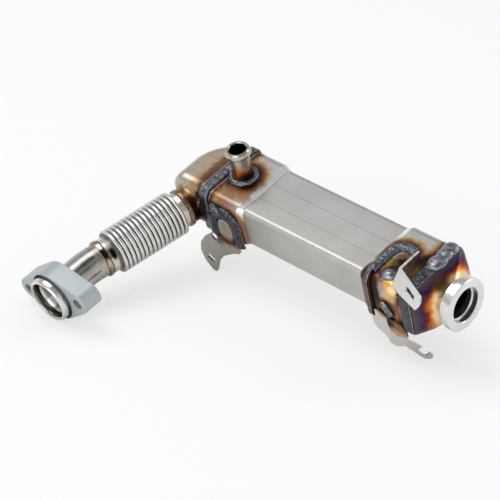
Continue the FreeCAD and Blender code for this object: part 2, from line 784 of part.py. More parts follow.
def make_spigot(name, where):
    """A coolant spigot with a hose bead at its end, and the weld round its foot."""
    body = new_body(f"coolant_spigot_{name}", where)
    sketch = new_sketch(body, "XZ_Plane")
    bore = s.spigot_radius - s.spigot_wall
    bead_top = s.spigot_length - s.spigot_bead_from_end
    bead_foot = bead_top - s.spigot_bead_width
    soft = s.spigot_bead_width / 4
    polygon(sketch, [(bore, 0), (s.spigot_radius, 0), (s.spigot_radius, bead_foot - soft),
                     (s.spigot_bead - soft / 2, bead_foot), (s.spigot_bead, bead_foot + soft),
                     (s.spigot_bead, bead_top - soft * 2), (s.spigot_bead - soft / 2, bead_top - soft / 2),
                     (s.spigot_bead - soft * 1.4, s.spigot_length), (bore + soft / 2, s.spigot_length),
                     (bore, s.spigot_length - soft / 2)])
    revolve(body, sketch, "V_Axis")
    ring = new_body(f"spigot_weld_{name}", where)
    ring_sketch = new_sketch(ring, "XZ_Plane")
    polygon(ring_sketch, [(s.spigot_radius, 0), (s.spigot_ring_radius, 0),
                          (s.spigot_ring_radius, s.spigot_ring_height * 0.3),
                          (s.spigot_ring_radius - s.spigot_ring_height * 0.3, s.spigot_ring_height * 0.8),
                          (s.spigot_radius + s.spigot_ring_height * 0.5, s.spigot_ring_height),
                          (s.spigot_radius, s.spigot_ring_height)])
    revolve(ring, ring_sketch, "V_Axis")


make_cone()
make_clamp_flange()
make_spigot("top", place(-s.spigot_from_step, 0, tank_top))
low_x = s.casing_length + s.low_spigot_from_step
make_spigot("bottom", place(low_x, 0, -tank_top, X_AXIS, 180))


def bead_path(label, where, radius, first_leg, sweep, last_leg, width, height, round_edge=False):
    """A weld bead along a straight leg, an arc round the local origin and, if there is one, another leg.

    It lies on a flat face, or runs round an edge of the sheet with its section standing out from the arc.
    """
    body = new_body(label, where)
    path = new_sketch(body, "XY_Plane")
    r = number(radius)
    turn = math.radians(sweep)
    end = FreeCAD.Vector(r * math.cos(turn), r * math.sin(turn), 0)
    first = path.addGeometry(Part.LineSegment(FreeCAD.Vector(r, -number(first_leg), 0), FreeCAD.Vector(r, 0, 0)))
    arc = path.addGeometry(Part.ArcOfCircle(Part.Circle(ORIGIN, Z_AXIS, r), 0, turn))
    path.addConstraint(Sketcher.Constraint("Tangent", first, 2, arc, 1))
    path.addConstraint(Sketcher.Constraint("Coincident", arc, 3, -1, 1))
    constrain(path, "Radius", arc, radius)
    path.addConstraint(Sketcher.Constraint("Vertical", first))
    constrain(path, "DistanceY", -1, 1, first, 1, -first_leg)
    edges = ["Edge1", "Edge2"]
    if last_leg is not None:
        run = FreeCAD.Vector(-math.sin(turn), math.cos(turn), 0) * number(last_leg)
        last = path.addGeometry(Part.LineSegment(end, end + run))
        path.addConstraint(Sketcher.Constraint("Tangent", arc, 2, last, 1))
        edges.append("Edge3")
    across = new_sketch(body, "XZ_Plane", first_leg)
    half = width / 2
    section = [(-half, 0), (half, 0), (half * 0.8, height * 0.6), (half * 0.3, height), (half * -0.3, height),
               (half * -0.8, height * 0.6)]
    if round_edge:
        polygon(across, [(radius + rise, side) for side, rise in section])
    else:
        polygon(across, [(radius + side, rise) for side, rise in section])
    run_feature = body.newObject("PartDesign::AdditivePipe", label + "_run")
    run_feature.Profile = across
    run_feature.Spine = (path, edges)


def blob(label, where, length, width, height):
    """A short weld bead with round ends: local X is its length, local Z leaves the face."""
    body = new_body(label, where)
    half = width / 2
    ends = (length - width) / 2
    sketch = new_sketch(body, "XY_Plane")
    arcs = []
    for side, start in ((1, -90), (-1, 90)):
        centre = FreeCAD.Vector(side * number(ends), 0, 0)
        round_end = Part.ArcOfCircle(Part.Circle(centre, Z_AXIS, number(half)), math.radians(start),
                                     math.radians(start + 180))
        arcs.append(sketch.addGeometry(round_end))
    for first, second in ((0, 1), (1, 0)):
        line = sketch.addGeometry(Part.LineSegment(sketch.getPoint(arcs[first], 2), sketch.getPoint(arcs[second], 1)))
        sketch.addConstraint(Sketcher.Constraint("Tangent", arcs[first], 2, line, 1))
        sketch.addConstraint(Sketcher.Constraint("Tangent", line, 2, arcs[second], 1))
    sketch.addConstraint(Sketcher.Constraint("Equal", arcs[0], arcs[1]))
    pin_point(sketch, arcs[0], 3, ends, 0)
    sketch.addConstraint(Sketcher.Constraint("PointOnObject", arcs[1], 3, -1))
    constrain(sketch, "DistanceX", arcs[1], 3, -1, 1, ends)
    constrain(sketch, "Radius", arcs[0], half)
    block = pad(body, sketch, height)
    chamfer(body, block, height * 0.6, lambda edge: edge.BoundBox.ZMin > number(height) - 1e-6)


def sheet_outline(body, role, points, depth):
    """Cuts away what lies outside an outline: the frame is far outside the sheet."""
    sketch = new_sketch(body, role)
    polygon(sketch, points)
    across = [number(x) for x, y in points]
    along = [number(y) for x, y in points]
    margin = 60
    left, right = min(across) - margin, max(across) + margin
    low, high = min(along) - margin, max(along) + margin
    polygon(sketch, [(left, low), (right, low), (right, high), (left, high)])
    return pocket(body, sketch, depth, both_sides=True)


def slot_hole(body, role, x, y, length, radius, depth, angle=0):
    """A slot with round ends through a sheet."""
    sketch = new_sketch(body, role)
    reach = number(length) / 2 - number(radius)
    turn = math.radians(angle)
    way = FreeCAD.Vector(math.cos(turn), math.sin(turn), 0)
    side = FreeCAD.Vector(-way.y, way.x, 0) * number(radius)
    middle = FreeCAD.Vector(number(x), number(y), 0)
    arcs = []
    for sign, start in ((1, turn - math.pi / 2), (-1, turn + math.pi / 2)):
        centre = middle + way * (reach * sign)
        arcs.append(sketch.addGeometry(Part.ArcOfCircle(Part.Circle(centre, Z_AXIS, number(radius)),
                                                        start, start + math.pi)))
    lines = [sketch.addGeometry(Part.LineSegment(middle + way * reach + side, middle - way * reach + side)),
             sketch.addGeometry(Part.LineSegment(middle - way * reach - side, middle + way * reach - side))]
    for first, second in ((arcs[0], lines[0]), (lines[0], arcs[1]), (arcs[1], lines[1]), (lines[1], arcs[0])):
        sketch.addConstraint(Sketcher.Constraint("Coincident", first, 2, second, 1))
    return pocket(body, sketch, depth, both_sides=True)


def across_sheet(way):
    """A test for short straight edges that run through a sheet in the given direction."""
    def wanted(edge):
        if edge.Curve.TypeId != "Part::GeomLine" or edge.Length > number(s.bracket_sheet) * 2.5:
            return False
        return abs(abs(edge.tangentAt(edge.FirstParameter).dot(way)) - 1) < 1e-4
    return wanted


def make_left_bracket():
    """A pressed bracket: an arched tab on the tank's front, and a leg that leans out below it."""
    body = new_body("left_bracket", place(-s.left_tab_from_step, -tank_front, 0))
    side = new_sketch(body, "YZ_Plane")
    lean = math.radians(number(s.left_leg_lean))
    sheet_size = number(s.bracket_sheet)
    fold = number(-tank_top - s.left_fold_below)
    tab = s.left_tab_radius
    top = number(s.left_tab_level + tab)
    foot_z = fold - number(s.left_leg_reach)
    foot_y = (foot_z - fold) * math.tan(lean)
    skin = sheet_size / math.cos(lean)
    polygon(side, [(0, top), (0, fold), (foot_y, foot_z), (foot_y - skin, foot_z),
                   (-sheet_size, fold + (skin - sheet_size) / math.tan(lean)), (-sheet_size, top)])
    pad(body, side, s.left_leg_spread * 3, both_sides=True)
    spread = s.left_leg_spread
    level = s.left_tab_level
    side_edge = s.left_leg_side
    outline = [(tab, level), (tab, fold - 0.3), (side_edge, fold - 0.3), (side_edge, fold - 7),
               (side_edge * 0.4, fold - 10.4), (-side_edge * 0.6, fold - 19.5), (-side_edge * 1.06, fold - 28),
               (-side_edge * 1.38, foot_z), (-side_edge * 1.72, foot_z), (-spread + 5.3, fold - 35.8),
               (-spread, fold - 26.3), (-spread + 0.8, fold - 16.6), (-spread + 6.6, fold - 7.7),
               (-side_edge * 1.55, fold + 1), (-side_edge, fold + 4), (-tab, fold + 4), (-tab, level),
               (-tab * 0.7, level + tab * 0.72), (0, level + tab), (tab * 0.7, level + tab * 0.72)]
    cut = sheet_outline(body, "XZ_Plane", outline, spread * 4)
    fillet(body, cut, s.bracket_round, across_sheet(Y_AXIS))
    slot_hole(body, "XZ_Plane", -side_edge * 1.3, fold - 1.5, s.left_hole * 2 + 0.2, s.left_hole, spread * 4)
    slot_hole(body, "XZ_Plane", -side_edge * 1.84, fold - 29.5, s.left_slot_length, s.left_slot, spread * 4, -22)


def make_right_bracket():
    """A pressed bracket: a plate on the tank's front that hangs below it, and a lug folded to the back."""
    body = new_body("right_bracket", place(s.casing_length, -tank_front, 0))
    foot = -tank_top
    left = s.right_plate_from_step
    fold = s.right_fold_from_step
    plate = new_sketch(body, "XZ_Plane")
    polygon(plate, [(left, foot + 4), (left + 7.2, foot + 4), (left + 7.2, foot + 12.5), (left + 19, foot + 13.5),
                    (left + 22.7, foot + 5.8), (left + 24, foot - 2.8), (left + 27, foot - 5.6),
                    (fold - 4.8, foot - 5.6), (fold, foot - 4.1), (fold, foot - 16.2), (fold - 3, foot - 18.3),
                    (fold - 13.5, foot - 23.1), (fold - 18.5, foot - 21.8), (fold - 20.5, foot - 15.5),
                    (left + 7.5, foot - 10.8), (left + 3.6, foot - 6.8), (left + 3, foot + 2)])
    pad(body, plate, s.bracket_sheet)
    # the lug's plane turns about an upright line at the sheet's front
    lug = new_sketch(body, "XZ_Plane")
    lug.AttachmentOffset = FreeCAD.Placement(FreeCAD.Vector(number(fold), 0, number(s.bracket_sheet)),
                                             FreeCAD.Rotation(Y_AXIS, number(s.right_lug_turn)))
    reach = s.right_lug_reach
    low = foot - s.right_lug_drop
    polygon(lug, [(0, foot - 5), (reach * 0.2, foot - 11.5), (reach * 0.55, foot - 21.6), (reach * 0.82, foot - 31),
                  (reach, foot - 38.5), (reach, low), (reach * 0.65, low + 4.5), (reach * 0.31, low + 16),
                  (0, foot - 16.2)])
    leaf = pad(body, lug, s.bracket_sheet, reverse=True)
    across = FreeCAD.Rotation(Z_AXIS, number(s.right_lug_turn)).multVec(Y_AXIS)
    through = across_sheet(across)
    soft = fillet(body, leaf, s.bracket_round, lambda edge: through(edge)
                  and edge.BoundBox.ZMax < number(low) + 6)
    hole = slot_hole(body, "XZ_Plane", reach * 0.67, low + 13.3, s.right_slot_length, s.right_slot,
                     s.right_lug_reach * 4, -57)
    hole.Profile[0].AttachmentOffset = lug.AttachmentOffset
    return soft


def make_clip():
    """A folded strip whose edge stands on the tank's top: one leg across the tank, one out over the cone."""
    body = new_body("clip_bracket", place(right_seam, 0, tank_top))
    plan = new_sketch(body, "XY_Plane", s.clip_fall)
    half = number(s.clip_sheet) / 2
    foot_x = -number(s.clip_from_seam)
    back_y = clip_bend + s.clip_foot
    bend = FreeCAD.Vector(foot_x, number(clip_bend), 0)
    way = FreeCAD.Vector(number(s.clip_arm), -number(s.clip_arm_drift), 0)
    tip = bend + way
    way.normalize()
    side = FreeCAD.Vector(-way.y, way.x, 0) * half
    shift = (half - side.x) / way.x
    inner = bend + side + way * shift
    outer = bend - side - way * shift
    polygon(plan, [(foot_x - half, back_y), (foot_x - half, outer.y), (tip.x - side.x, tip.y - side.y),
                   (tip.x + side.x, tip.y + side.y), (foot_x + half, inner.y), (foot_x + half, back_y)])
    strip = pad(body, plan, s.clip_width)
    strip.UseCustomVector = True
    strip.AlongSketchNormal = False
    down = FreeCAD.Vector(0, -number(s.clip_lean), -number(s.clip_fall))
    strip.Direction = down
    down.normalize()

    def at_bend(edge):
        if edge.Curve.TypeId != "Part::GeomLine" or abs(edge.BoundBox.Center.x - foot_x) > half + 0.01:
            return False
        near = abs(edge.BoundBox.YMax - bend.y) < half * 2
        return near and abs(abs(edge.tangentAt(edge.FirstParameter).dot(down)) - 1) < 1e-4

    fillet(body, strip, s.clip_bend, at_bend)
    # the strip narrows towards a round tip
    taper = new_sketch(body, "XZ_Plane")
    top = number(s.clip_fall)
    rise = number(s.clip_tip_rise)
    tip_radius = (top - rise) / 2
    reach = tip.x + side.x - tip_radius
    far = reach + top * 2
    taper_start = foot_x + number(s.clip_arm) * 0.3
    frame = [(reach, top), (reach, top * 2), (far, top * 2), (far, -top), (taper_start, -top), (taper_start, 0),
             (reach, rise)]
    corners = [FreeCAD.Vector(x, y, 0) for x, y in frame]
    lines = [taper.addGeometry(Part.LineSegment(a, b)) for a, b in zip(corners, corners[1:])]
    arc = taper.addGeometry(Part.ArcOfCircle(Part.Circle(FreeCAD.Vector(reach, rise + tip_radius, 0), Z_AXIS,
                                                         tip_radius), -math.pi / 2, math.pi / 2))
    for first, second in list(zip(lines, lines[1:])) + [(lines[-1], arc), (arc, lines[0])]:
        taper.addConstraint(Sketcher.Constraint("Coincident", first, 2, second, 1))
    pocket(body, taper, s.casing_width * 3, both_sides=True)
    slot_hole(body, "XZ_Plane", (foot_x + tip.x) / 2 + 4.5, top / 2 + 0.9, s.clip_slot_length, s.clip_slot,
              s.casing_width * 3)


make_left_bracket()
make_right_bracket()
make_clip()
to_front = FreeCAD.Rotation(X_AXIS, 90)
left_arch = FreeCAD.Vector(-number(s.left_tab_from_step), -number(tank_front), number(s.left_tab_level))
bead_path("left_bracket_weld", FreeCAD.Placement(left_arch, to_front),
          s.left_tab_radius + s.left_bead_width / 2 + s.running_gap, tank_top + s.left_tab_level, 180, s.left_bead_leg,
          s.left_bead_width, s.left_bead_height)
# the arch on the right tank's top, and the bead that carries on from it over the edge and down the front
arch_x = s.casing_length + s.arch_from_step
arch_y = s.arch_from_front - tank_front
edge_start = tank_corner - tank_front
bead_path("clip_arch_weld", place(arch_x, arch_y, tank_top, Z_AXIS, 90), s.arch_radius, s.arch_leg, 90,
          arch_y - edge_start, s.bead_width, s.bead_height)
over_edge = FreeCAD.Rotation(Z_AXIS, -90).multiply(to_front)
edge_bead = FreeCAD.Vector(number(arch_x - s.arch_radius), number(edge_start), number(tank_top - tank_corner))
bead_path("edge_weld", FreeCAD.Placement(edge_bead, over_edge), tank_corner, s.edge_bead_length - tank_corner, 90,
          None, s.bead_width, s.bead_height, round_edge=True)
blob("clip_foot_weld", place(right_seam - s.clip_from_seam - s.clip_sheet / 2 - s.clip_weld_width / 2,
                             clip_bend + s.clip_foot * 0.36, tank_top, Z_AXIS, 90),
     s.clip_foot * 0.55, s.clip_weld_width, s.bead_height)
blob("right_top_weld", place(s.casing_length + s.dome_from_step, s.dome_from_front - tank_front, tank_top),
     s.dome_width + 0.4, s.dome_width, s.dome_height)
low_weld = FreeCAD.Vector(number(s.casing_length + s.low_weld_from_step), -number(tank_front),
                          number(s.low_weld_level))
low_weld_turn = to_front.multiply(FreeCAD.Rotation(Z_AXIS, number(s.low_weld_turn)))
blob("right_front_weld", FreeCAD.Placement(low_weld, low_weld_turn), s.low_weld_length, s.low_weld_width,
     s.bead_height)

doc.recompute()
troubled = [thing.Label for thing in doc.Objects if {"Invalid", "Error"} & set(thing.State)]
if troubled:
    raise RuntimeError(f"did not build: {troubled}")

# The cooler lies on its flange, its left bracket and its right lug
lying = FreeCAD.Rotation(Y_AXIS, number(s.core_dip)).multiply(FreeCAD.Rotation(X_AXIS, number(s.core_roll)))
laid = FreeCAD.Placement(ORIGIN, lying)
bounds = FreeCAD.BoundBox()
lowest = {}
for body, where in nodes:
    shape = body.Shape.copy()
    shape.Placement = laid.multiply(where)
    box = shape.optimalBoundingBox(False, True)
    lowest[body.Label] = round(box.ZMin, 2)
    bounds.add(box)
middle = FreeCAD.Vector(bounds.Center.x, bounds.Center.y, bounds.ZMin)
laid = FreeCAD.Placement(middle.negative(), lying)

os.makedirs("parts", exist_ok=True)
for body, where in nodes:
    body.Placement = laid.multiply(where)
    shape = body.Shape
    if shape.isNull() or not shape.isValid():
        raise RuntimeError(f"{body.Label} has no valid shape")
    shape.exportStep(f"parts/{body.Label}.step")
    print(body.Label, len(shape.Solids), round(shape.Volume), "lowest", lowest[body.Label])
print("box", [round(v, 2) for v in (bounds.XLength, bounds.YLength, bounds.ZLength)], "middle", middle)

# Where the mating faces lie, each with the way out of its mouth
clamp_face = right_seam + s.header_thickness + s.cone_length + clamp_length
spigot_wall_length = s.spigot_length - s.spigot_bead_width / 8
mating = {
    "clamp_face": (FreeCAD.Vector(number(clamp_face), 0, 0), X_AXIS),
    "clamp_bore": (FreeCAD.Vector(number(clamp_face - (s.clamp_port_depth + s.clamp_edge) / 2), 0, 0), X_AXIS),
    "bell_mouth": (lip + Y_AXIS * number(s.bell_mouth / 2), -Y_AXIS),
    "coolant_top": (FreeCAD.Vector(-number(s.spigot_from_step), 0, number(tank_top + spigot_wall_length / 2)), Z_AXIS),
    "coolant_bottom": (FreeCAD.Vector(number(low_x), 0, -number(tank_top + spigot_wall_length / 2)), -Z_AXIS),
    "flange_front": (FreeCAD.Vector(lip.x, lip.y + number(s.flange_behind_lip), 0), -Y_AXIS),
}
for name, (spot, way) in mating.items():
    print(name, [round(v / 1000, 5) for v in laid.multVec(spot)], [round(v, 5) for v in lying.multVec(way)])
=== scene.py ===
import bpy
import bmesh
import json
import math
from mathutils import Matrix, Vector


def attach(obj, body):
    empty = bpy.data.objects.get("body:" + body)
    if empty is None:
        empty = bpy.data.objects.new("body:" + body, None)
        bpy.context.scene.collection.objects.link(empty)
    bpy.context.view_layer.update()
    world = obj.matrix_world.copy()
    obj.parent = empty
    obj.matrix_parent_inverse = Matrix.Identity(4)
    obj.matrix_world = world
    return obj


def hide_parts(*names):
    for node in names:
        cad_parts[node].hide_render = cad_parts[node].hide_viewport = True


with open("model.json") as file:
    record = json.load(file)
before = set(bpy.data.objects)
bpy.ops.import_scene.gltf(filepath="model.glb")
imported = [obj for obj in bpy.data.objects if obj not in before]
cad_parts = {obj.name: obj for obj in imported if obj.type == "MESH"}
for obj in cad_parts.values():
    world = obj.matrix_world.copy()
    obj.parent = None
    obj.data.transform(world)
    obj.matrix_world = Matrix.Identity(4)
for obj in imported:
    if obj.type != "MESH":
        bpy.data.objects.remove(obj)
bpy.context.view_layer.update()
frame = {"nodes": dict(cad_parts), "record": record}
nodes = frame["nodes"]
scene = bpy.context.scene
scene.view_settings.view_transform = "Standard"
print("frame loaded:", len(nodes), "nodes")


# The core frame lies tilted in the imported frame: its directions and place come from the connections
mounts = {mount["name"]: mount for mount in frame["record"]["mounts"]}
coreX = Vector(mounts["clamp_bore"]["axis"]).normalized()
coreZ = Vector(mounts["coolant_top"]["axis"]).normalized()
coreY = coreZ.cross(coreX).normalized()
coreZ = coreX.cross(coreY)
core = {"clampBore": 223.6}  # the clamp flange's bore is mounted this far along the core
coreOrigin = Vector(mounts["clamp_bore"]["pos_m"]) - coreX * core["clampBore"] / 1000
coreTurn = Matrix((coreX, coreY, coreZ)).transposed()
coreMatrix = Matrix.Translation(coreOrigin) @ coreTurn.to_4x4()
millimetres = coreMatrix @ Matrix.Scale(0.001, 4)  # the core frame's millimetres to packed metres


def corePlace(x, y, z):
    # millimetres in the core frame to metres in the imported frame
    return coreMatrix @ Vector((x / 1000, y / 1000, z / 1000))


# camera

view = {"place": (1162.92, -927.0, 1314.89), "turn": (60.236, 0.0, 44.019), "lens": 158.4, "farClip": 20}
cameraData = bpy.data.cameras.new("photoView")
cameraData.lens = view["lens"]
cameraData.clip_end = view["farClip"]
camera = bpy.data.objects.new("photoView", cameraData)
camera.location = corePlace(*view["place"])
camera.rotation_euler = [math.radians(angle) for angle in view["turn"]]
scene.collection.objects.link(camera)
scene.camera = camera


# shader helpers

def newMaterial(name):
    material = bpy.data.materials.new(name)
    material.use_nodes = True
    return material


def put(tree, kind, **settings):
    node = tree.nodes.new(kind)
    for key, value in settings.items():
        setattr(node, key, value)
    return node


def feed(tree, socket, value):
    # another node's output is linked to the socket, and a number, point or colour is set on it
    if isinstance(value, bpy.types.NodeSocket):
        tree.links.new(value, socket)
    elif socket.type == "RGBA" and len(value) == 3:
        socket.default_value = (*value, 1)
    else:
        socket.default_value = value


def mathNode(tree, operation, *values):
    node = put(tree, "ShaderNodeMath", operation=operation)
    for socket, value in zip(node.inputs, values):
        feed(tree, socket, value)
    return node.outputs[0]


def vectorMath(tree, operation, *values):
    node = put(tree, "ShaderNodeVectorMath", operation=operation)
    for socket, value in zip(node.inputs, values):
        feed(tree, socket, value)
    return node


def mapRange(tree, value, low, high, newLow=0.0, newHigh=1.0, smooth=True):
    node = put(tree, "ShaderNodeMapRange", interpolation_type="SMOOTHSTEP" if smooth else "LINEAR")
    tree.links.new(value, node.inputs["Value"])
    node.inputs["From Min"].default_value = low
    node.inputs["From Max"].default_value = high
    node.inputs["To Min"].default_value = newLow
    node.inputs["To Max"].default_value = newHigh
    return node.outputs[0]


def mixColour(tree, factor, a, b, blend="MIX"):
    node = put(tree, "ShaderNodeMix", data_type="RGBA", blend_type=blend)
    for index, value in ((0, factor), (6, a), (7, b)):
        feed(tree, node.inputs[index], value)
    return node.outputs[2]


def ramp(tree, value, stops):
    node = put(tree, "ShaderNodeValToRGB")
    elements = node.color_ramp.elements
    while len(elements) < len(stops):
        elements.new(0.5)
    for element, (position, colour) in zip(elements, stops):
        element.position = position
        element.color = (*colour, 1)
    tree.links.new(value, node.inputs[0])
    return node.outputs[0]


def noise(tree, vector, scale, detail=2.0, roughness=0.5):
    node = put(tree, "ShaderNodeTexNoise")
    for key, value in (("Vector", vector), ("Scale", scale), ("Detail", detail), ("Roughness", roughness)):
        feed(tree, node.inputs[key], value)
    return node.outputs[0]


def component(tree, vector, axis):
    parts = put(tree, "ShaderNodeSeparateXYZ")
    tree.links.new(vector, parts.inputs[0])
    return parts.outputs[axis]


def timesGrey(tree, base, value):
    grey = put(tree, "ShaderNodeCombineColor")
    for socket in grey.inputs[:3]:
        tree.links.new(value, socket)
    return mixColour(tree, 1.0, base, grey.outputs[0], "MULTIPLY")


def coreCoordinates(tree):
    # Object coordinates turned into millimetres of the core frame
    coordinates = put(tree, "ShaderNodeTexCoord")
    mapping = put(tree, "ShaderNodeMapping", vector_type="TEXTURE")
    mapping.inputs["Location"].default_value = coreOrigin
    mapping.inputs["Rotation"].default_value = coreTurn.to_euler()
    mapping.inputs["Scale"].default_value = (0.001, 0.001, 0.001)
    tree.links.new(coordinates.outputs["Object"], mapping.inputs["Vector"])
    return mapping.outputs[0]


def newGroup(name, inputs, outputs):
    group = bpy.data.node_groups.new(name, "ShaderNodeTree")
    for socketName, kind, default in inputs:
        socket = group.interface.new_socket(name=socketName, in_out="INPUT", socket_type=kind)
        if default is not None:
            socket.default_value = default
    for socketName, kind in outputs:
        group.interface.new_socket(name=socketName, in_out="OUTPUT", socket_type=kind)
    return group, group.nodes.new("NodeGroupInput"), group.nodes.new("NodeGroupOutput")


def placeGroup(tree, group, **values):
    node = put(tree, "ShaderNodeGroup", node_tree=group)
    for key, value in values.items():
        feed(tree, node.inputs[key], value)
    return node


def shadeSurface(tree, colour, rough, metallic, height, bump, depth):
    # the material's own shader gets its colour, gloss and bump; depth is in metres
    shader = tree.nodes["Principled BSDF"]
    tree.links.new(colour, shader.inputs["Base Color"])
    tree.links.new(rough, shader.inputs["Roughness"])
    shader.inputs["Metallic"].default_value = metallic
    relief = put(tree, "ShaderNodeBump")
    relief.inputs["Strength"].default_value = bump
    relief.inputs["Distance"].default_value = depth
    tree.links.new(height, relief.inputs["Height"])
    tree.links.new(relief.outputs[0], shader.inputs["Normal"])


# light: three soft lamps and a pale sky that is darker overhead where metal mirrors it

lamps = {
    "key": {"power": 24.0, "size": 2.0, "place": (-0.9, -0.5, 2.3), "target": (0.0, 0.0, 0.03)},
    "fill": {"power": 20.5, "size": 2.4, "place": (0.5, -2.5, 1.0), "target": (0.0, 0.0, 0.05)},
    "rim": {"power": 8.5, "size": 1.4, "place": (1.2, 1.8, 1.5), "target": (0.0, 0.0, 0.05)}}
for name, look in lamps.items():
    lampData = bpy.data.lights.new(name, "AREA")
    lampData.shape = "DISK"
    lampData.energy = look["power"]
    lampData.size = look["size"]
    lamp = bpy.data.objects.new(name, lampData)
    lamp.location = look["place"]
    aim = Vector(look["target"]) - Vector(look["place"])
    lamp.rotation_euler = aim.to_track_quat("-Z", "Y").to_euler()
    scene.collection.objects.link(lamp)

skyLook = {"light": (0.56, 0.56, 0.56), "white": (1, 1, 1), "overhead": (0.34, 0.35, 0.37),
           "overheadFrom": 0.75}
world = bpy.data.worlds.new("paleStudio")
scene.world = world
world.use_nodes = True
sky = world.node_tree
sky.nodes.clear()
path = put(sky, "ShaderNodeLightPath")
direction = put(sky, "ShaderNodeTexCoord")
mirrored = ramp(sky, component(sky, direction.outputs["Generated"], 2), (
    (0.0, skyLook["white"]), (skyLook["overheadFrom"], skyLook["overhead"])))
cast = mixColour(sky, path.outputs["Is Glossy Ray"], skyLook["light"], mirrored)
seen = mathNode(sky, "MAXIMUM", path.outputs["Is Camera Ray"], path.outputs["Is Transmission Ray"])
background = put(sky, "ShaderNodeBackground")
sky.links.new(mixColour(sky, seen, cast, skyLook["white"]), background.inputs["Color"])
skyOut = put(sky, "ShaderNodeOutputWorld")
sky.links.new(background.outputs[0], skyOut.inputs[0])

# floor: pale paint that glows a little towards the camera and keeps the shadow

floorLook = {"half": 6, "grain": 60, "tones": ((0.93, 0.93, 0.93), (0.95, 0.95, 0.95)), "rough": 0.9,
             "lift": 0.60}
floorMesh = bpy.data.meshes.new("floor")
floorShape = bmesh.new()
bmesh.ops.create_grid(floorShape, x_segments=1, y_segments=1, size=floorLook["half"])
floorShape.to_mesh(floorMesh)
floorShape.free()
floor = bpy.data.objects.new("floor", floorMesh)
scene.collection.objects.link(floor)
floorPaint = newMaterial("floorPaint")
floorTree = floorPaint.node_tree
floorShader = floorTree.nodes["Principled BSDF"]
floorSpot = put(floorTree, "ShaderNodeTexCoord")
floorGrain = noise(floorTree, floorSpot.outputs["Object"], floorLook["grain"])
floorTree.links.new(mixColour(floorTree, floorGrain, *floorLook["tones"]), floorShader.inputs["Base Color"])
floorShader.inputs["Roughness"].default_value = floorLook["rough"]
floorPath = put(floorTree, "ShaderNodeLightPath")
floorSeen = mathNode(floorTree, "MULTIPLY", floorPath.outputs["Is Camera Ray"], floorLook["lift"])
floorGlow = put(floorTree, "ShaderNodeEmission")
floorMix = put(floorTree, "ShaderNodeMixShader")
for socket, part in zip(floorMix.inputs, (floorSeen, floorShader.outputs[0], floorGlow.outputs[0])):
    floorTree.links.new(part, socket)
floorTree.links.new(floorMix.outputs[0], floorTree.nodes["Material Output"].inputs["Surface"])
floorMesh.materials.append(floorPaint)
print("camera, light and floor made")


# heat tint: from near black beside a weld over brown and gold to the plain steel

tintLook = {"grain": 0.16, "drift": (0.9, 0.55), "fade": (0.35, 1.0), "burn": (0.05, 0.5)}
tintGroup, tintIn, tintOut = newGroup("heatTint", (
    ("Steel", "NodeSocketColor", (0.4, 0.4, 0.38, 1)), ("Distance", "NodeSocketFloat", 50.0),
    ("Reach", "NodeSocketFloat", 14.0), ("Vector", "NodeSocketVector", None)),
    (("Color", "NodeSocketColor"), ("Burn", "NodeSocketFloat")))
tintNoise = noise(tintGroup, tintIn.outputs["Vector"], tintLook["grain"], detail=4)
tintDrift = mathNode(tintGroup, "MULTIPLY_ADD", tintNoise, *tintLook["drift"])
near = mathNode(tintGroup, "DIVIDE", mathNode(tintGroup, "MULTIPLY", tintIn.outputs["Distance"], tintDrift),
                tintIn.outputs["Reach"])
tintColour = ramp(tintGroup, near, (
    (0.0, (0.025, 0.014, 0.020)), (0.12, (0.060, 0.026, 0.030)), (0.22, (0.140, 0.050, 0.030)),
    (0.34, (0.290, 0.130, 0.055)), (0.50, (0.450, 0.280, 0.130)), (0.72, (0.54, 0.44, 0.30)),
    (1.0, (0.6, 0.57, 0.52))))
shown = mapRange(tintGroup, near, *tintLook["fade"], 1.0, 0.0)
heated = mixColour(tintGroup, shown, tintIn.outputs["Steel"], tintColour)
tintGroup.links.new(heated, tintOut.inputs["Color"])
tintGroup.links.new(mapRange(tintGroup, near, *tintLook["burn"], 1.0, 0.0), tintOut.inputs["Burn"])

# brushed grain: fine lines along the vector's X, with broad cloudy patches

brushLook = {"drawn": (0.012, 1.0, 1.0), "patch": 0.03}
grainGroup, grainIn, grainOut = newGroup("brushedGrain", (
    ("Vector", "NodeSocketVector", None), ("Lines", "NodeSocketFloat", 1.0)),
    (("Line", "NodeSocketFloat"), ("Patch", "NodeSocketFloat")))
drawnOut = vectorMath(grainGroup, "MULTIPLY", grainIn.outputs["Vector"], brushLook["drawn"]).outputs[0]
lineNoise = noise(grainGroup, drawnOut, grainIn.outputs["Lines"], detail=6, roughness=0.75)
patchNoise = noise(grainGroup, grainIn.outputs["Vector"], brushLook["patch"], detail=3)
grainGroup.links.new(lineNoise, grainOut.inputs["Line"])
grainGroup.links.new(patchNoise, grainOut.inputs["Patch"])

# a soft patch of one colour round a point, its rim wandering with a little noise

spotLook = {"grain": 0.22, "drift": (1.5, 0.25), "fade": (0.3, 1.05)}
spotGroup, spotIn, spotOut = newGroup("heatSpot", (
    ("Base", "NodeSocketColor", (0.5, 0.5, 0.5, 1)), ("Tint", "NodeSocketColor", (0.2, 0.1, 0.05, 1)),
    ("Vector", "NodeSocketVector", None), ("Place", "NodeSocketVector", None),
    ("Stretch", "NodeSocketVector", None), ("Reach", "NodeSocketFloat", 8.0),
    ("Strength", "NodeSocketFloat", 1.0)), (("Color", "NodeSocketColor"),))
toPlace = vectorMath(spotGroup, "SUBTRACT", spotIn.outputs["Vector"], spotIn.outputs["Place"]).outputs[0]
narrowed = vectorMath(spotGroup, "DIVIDE", toPlace, spotIn.outputs["Stretch"]).outputs[0]
spotFar = vectorMath(spotGroup, "LENGTH", narrowed).outputs["Value"]
spotNoise = noise(spotGroup, spotIn.outputs["Vector"], spotLook["grain"], detail=3)
spotDrift = mathNode(spotGroup, "MULTIPLY_ADD", spotNoise, *spotLook["drift"])
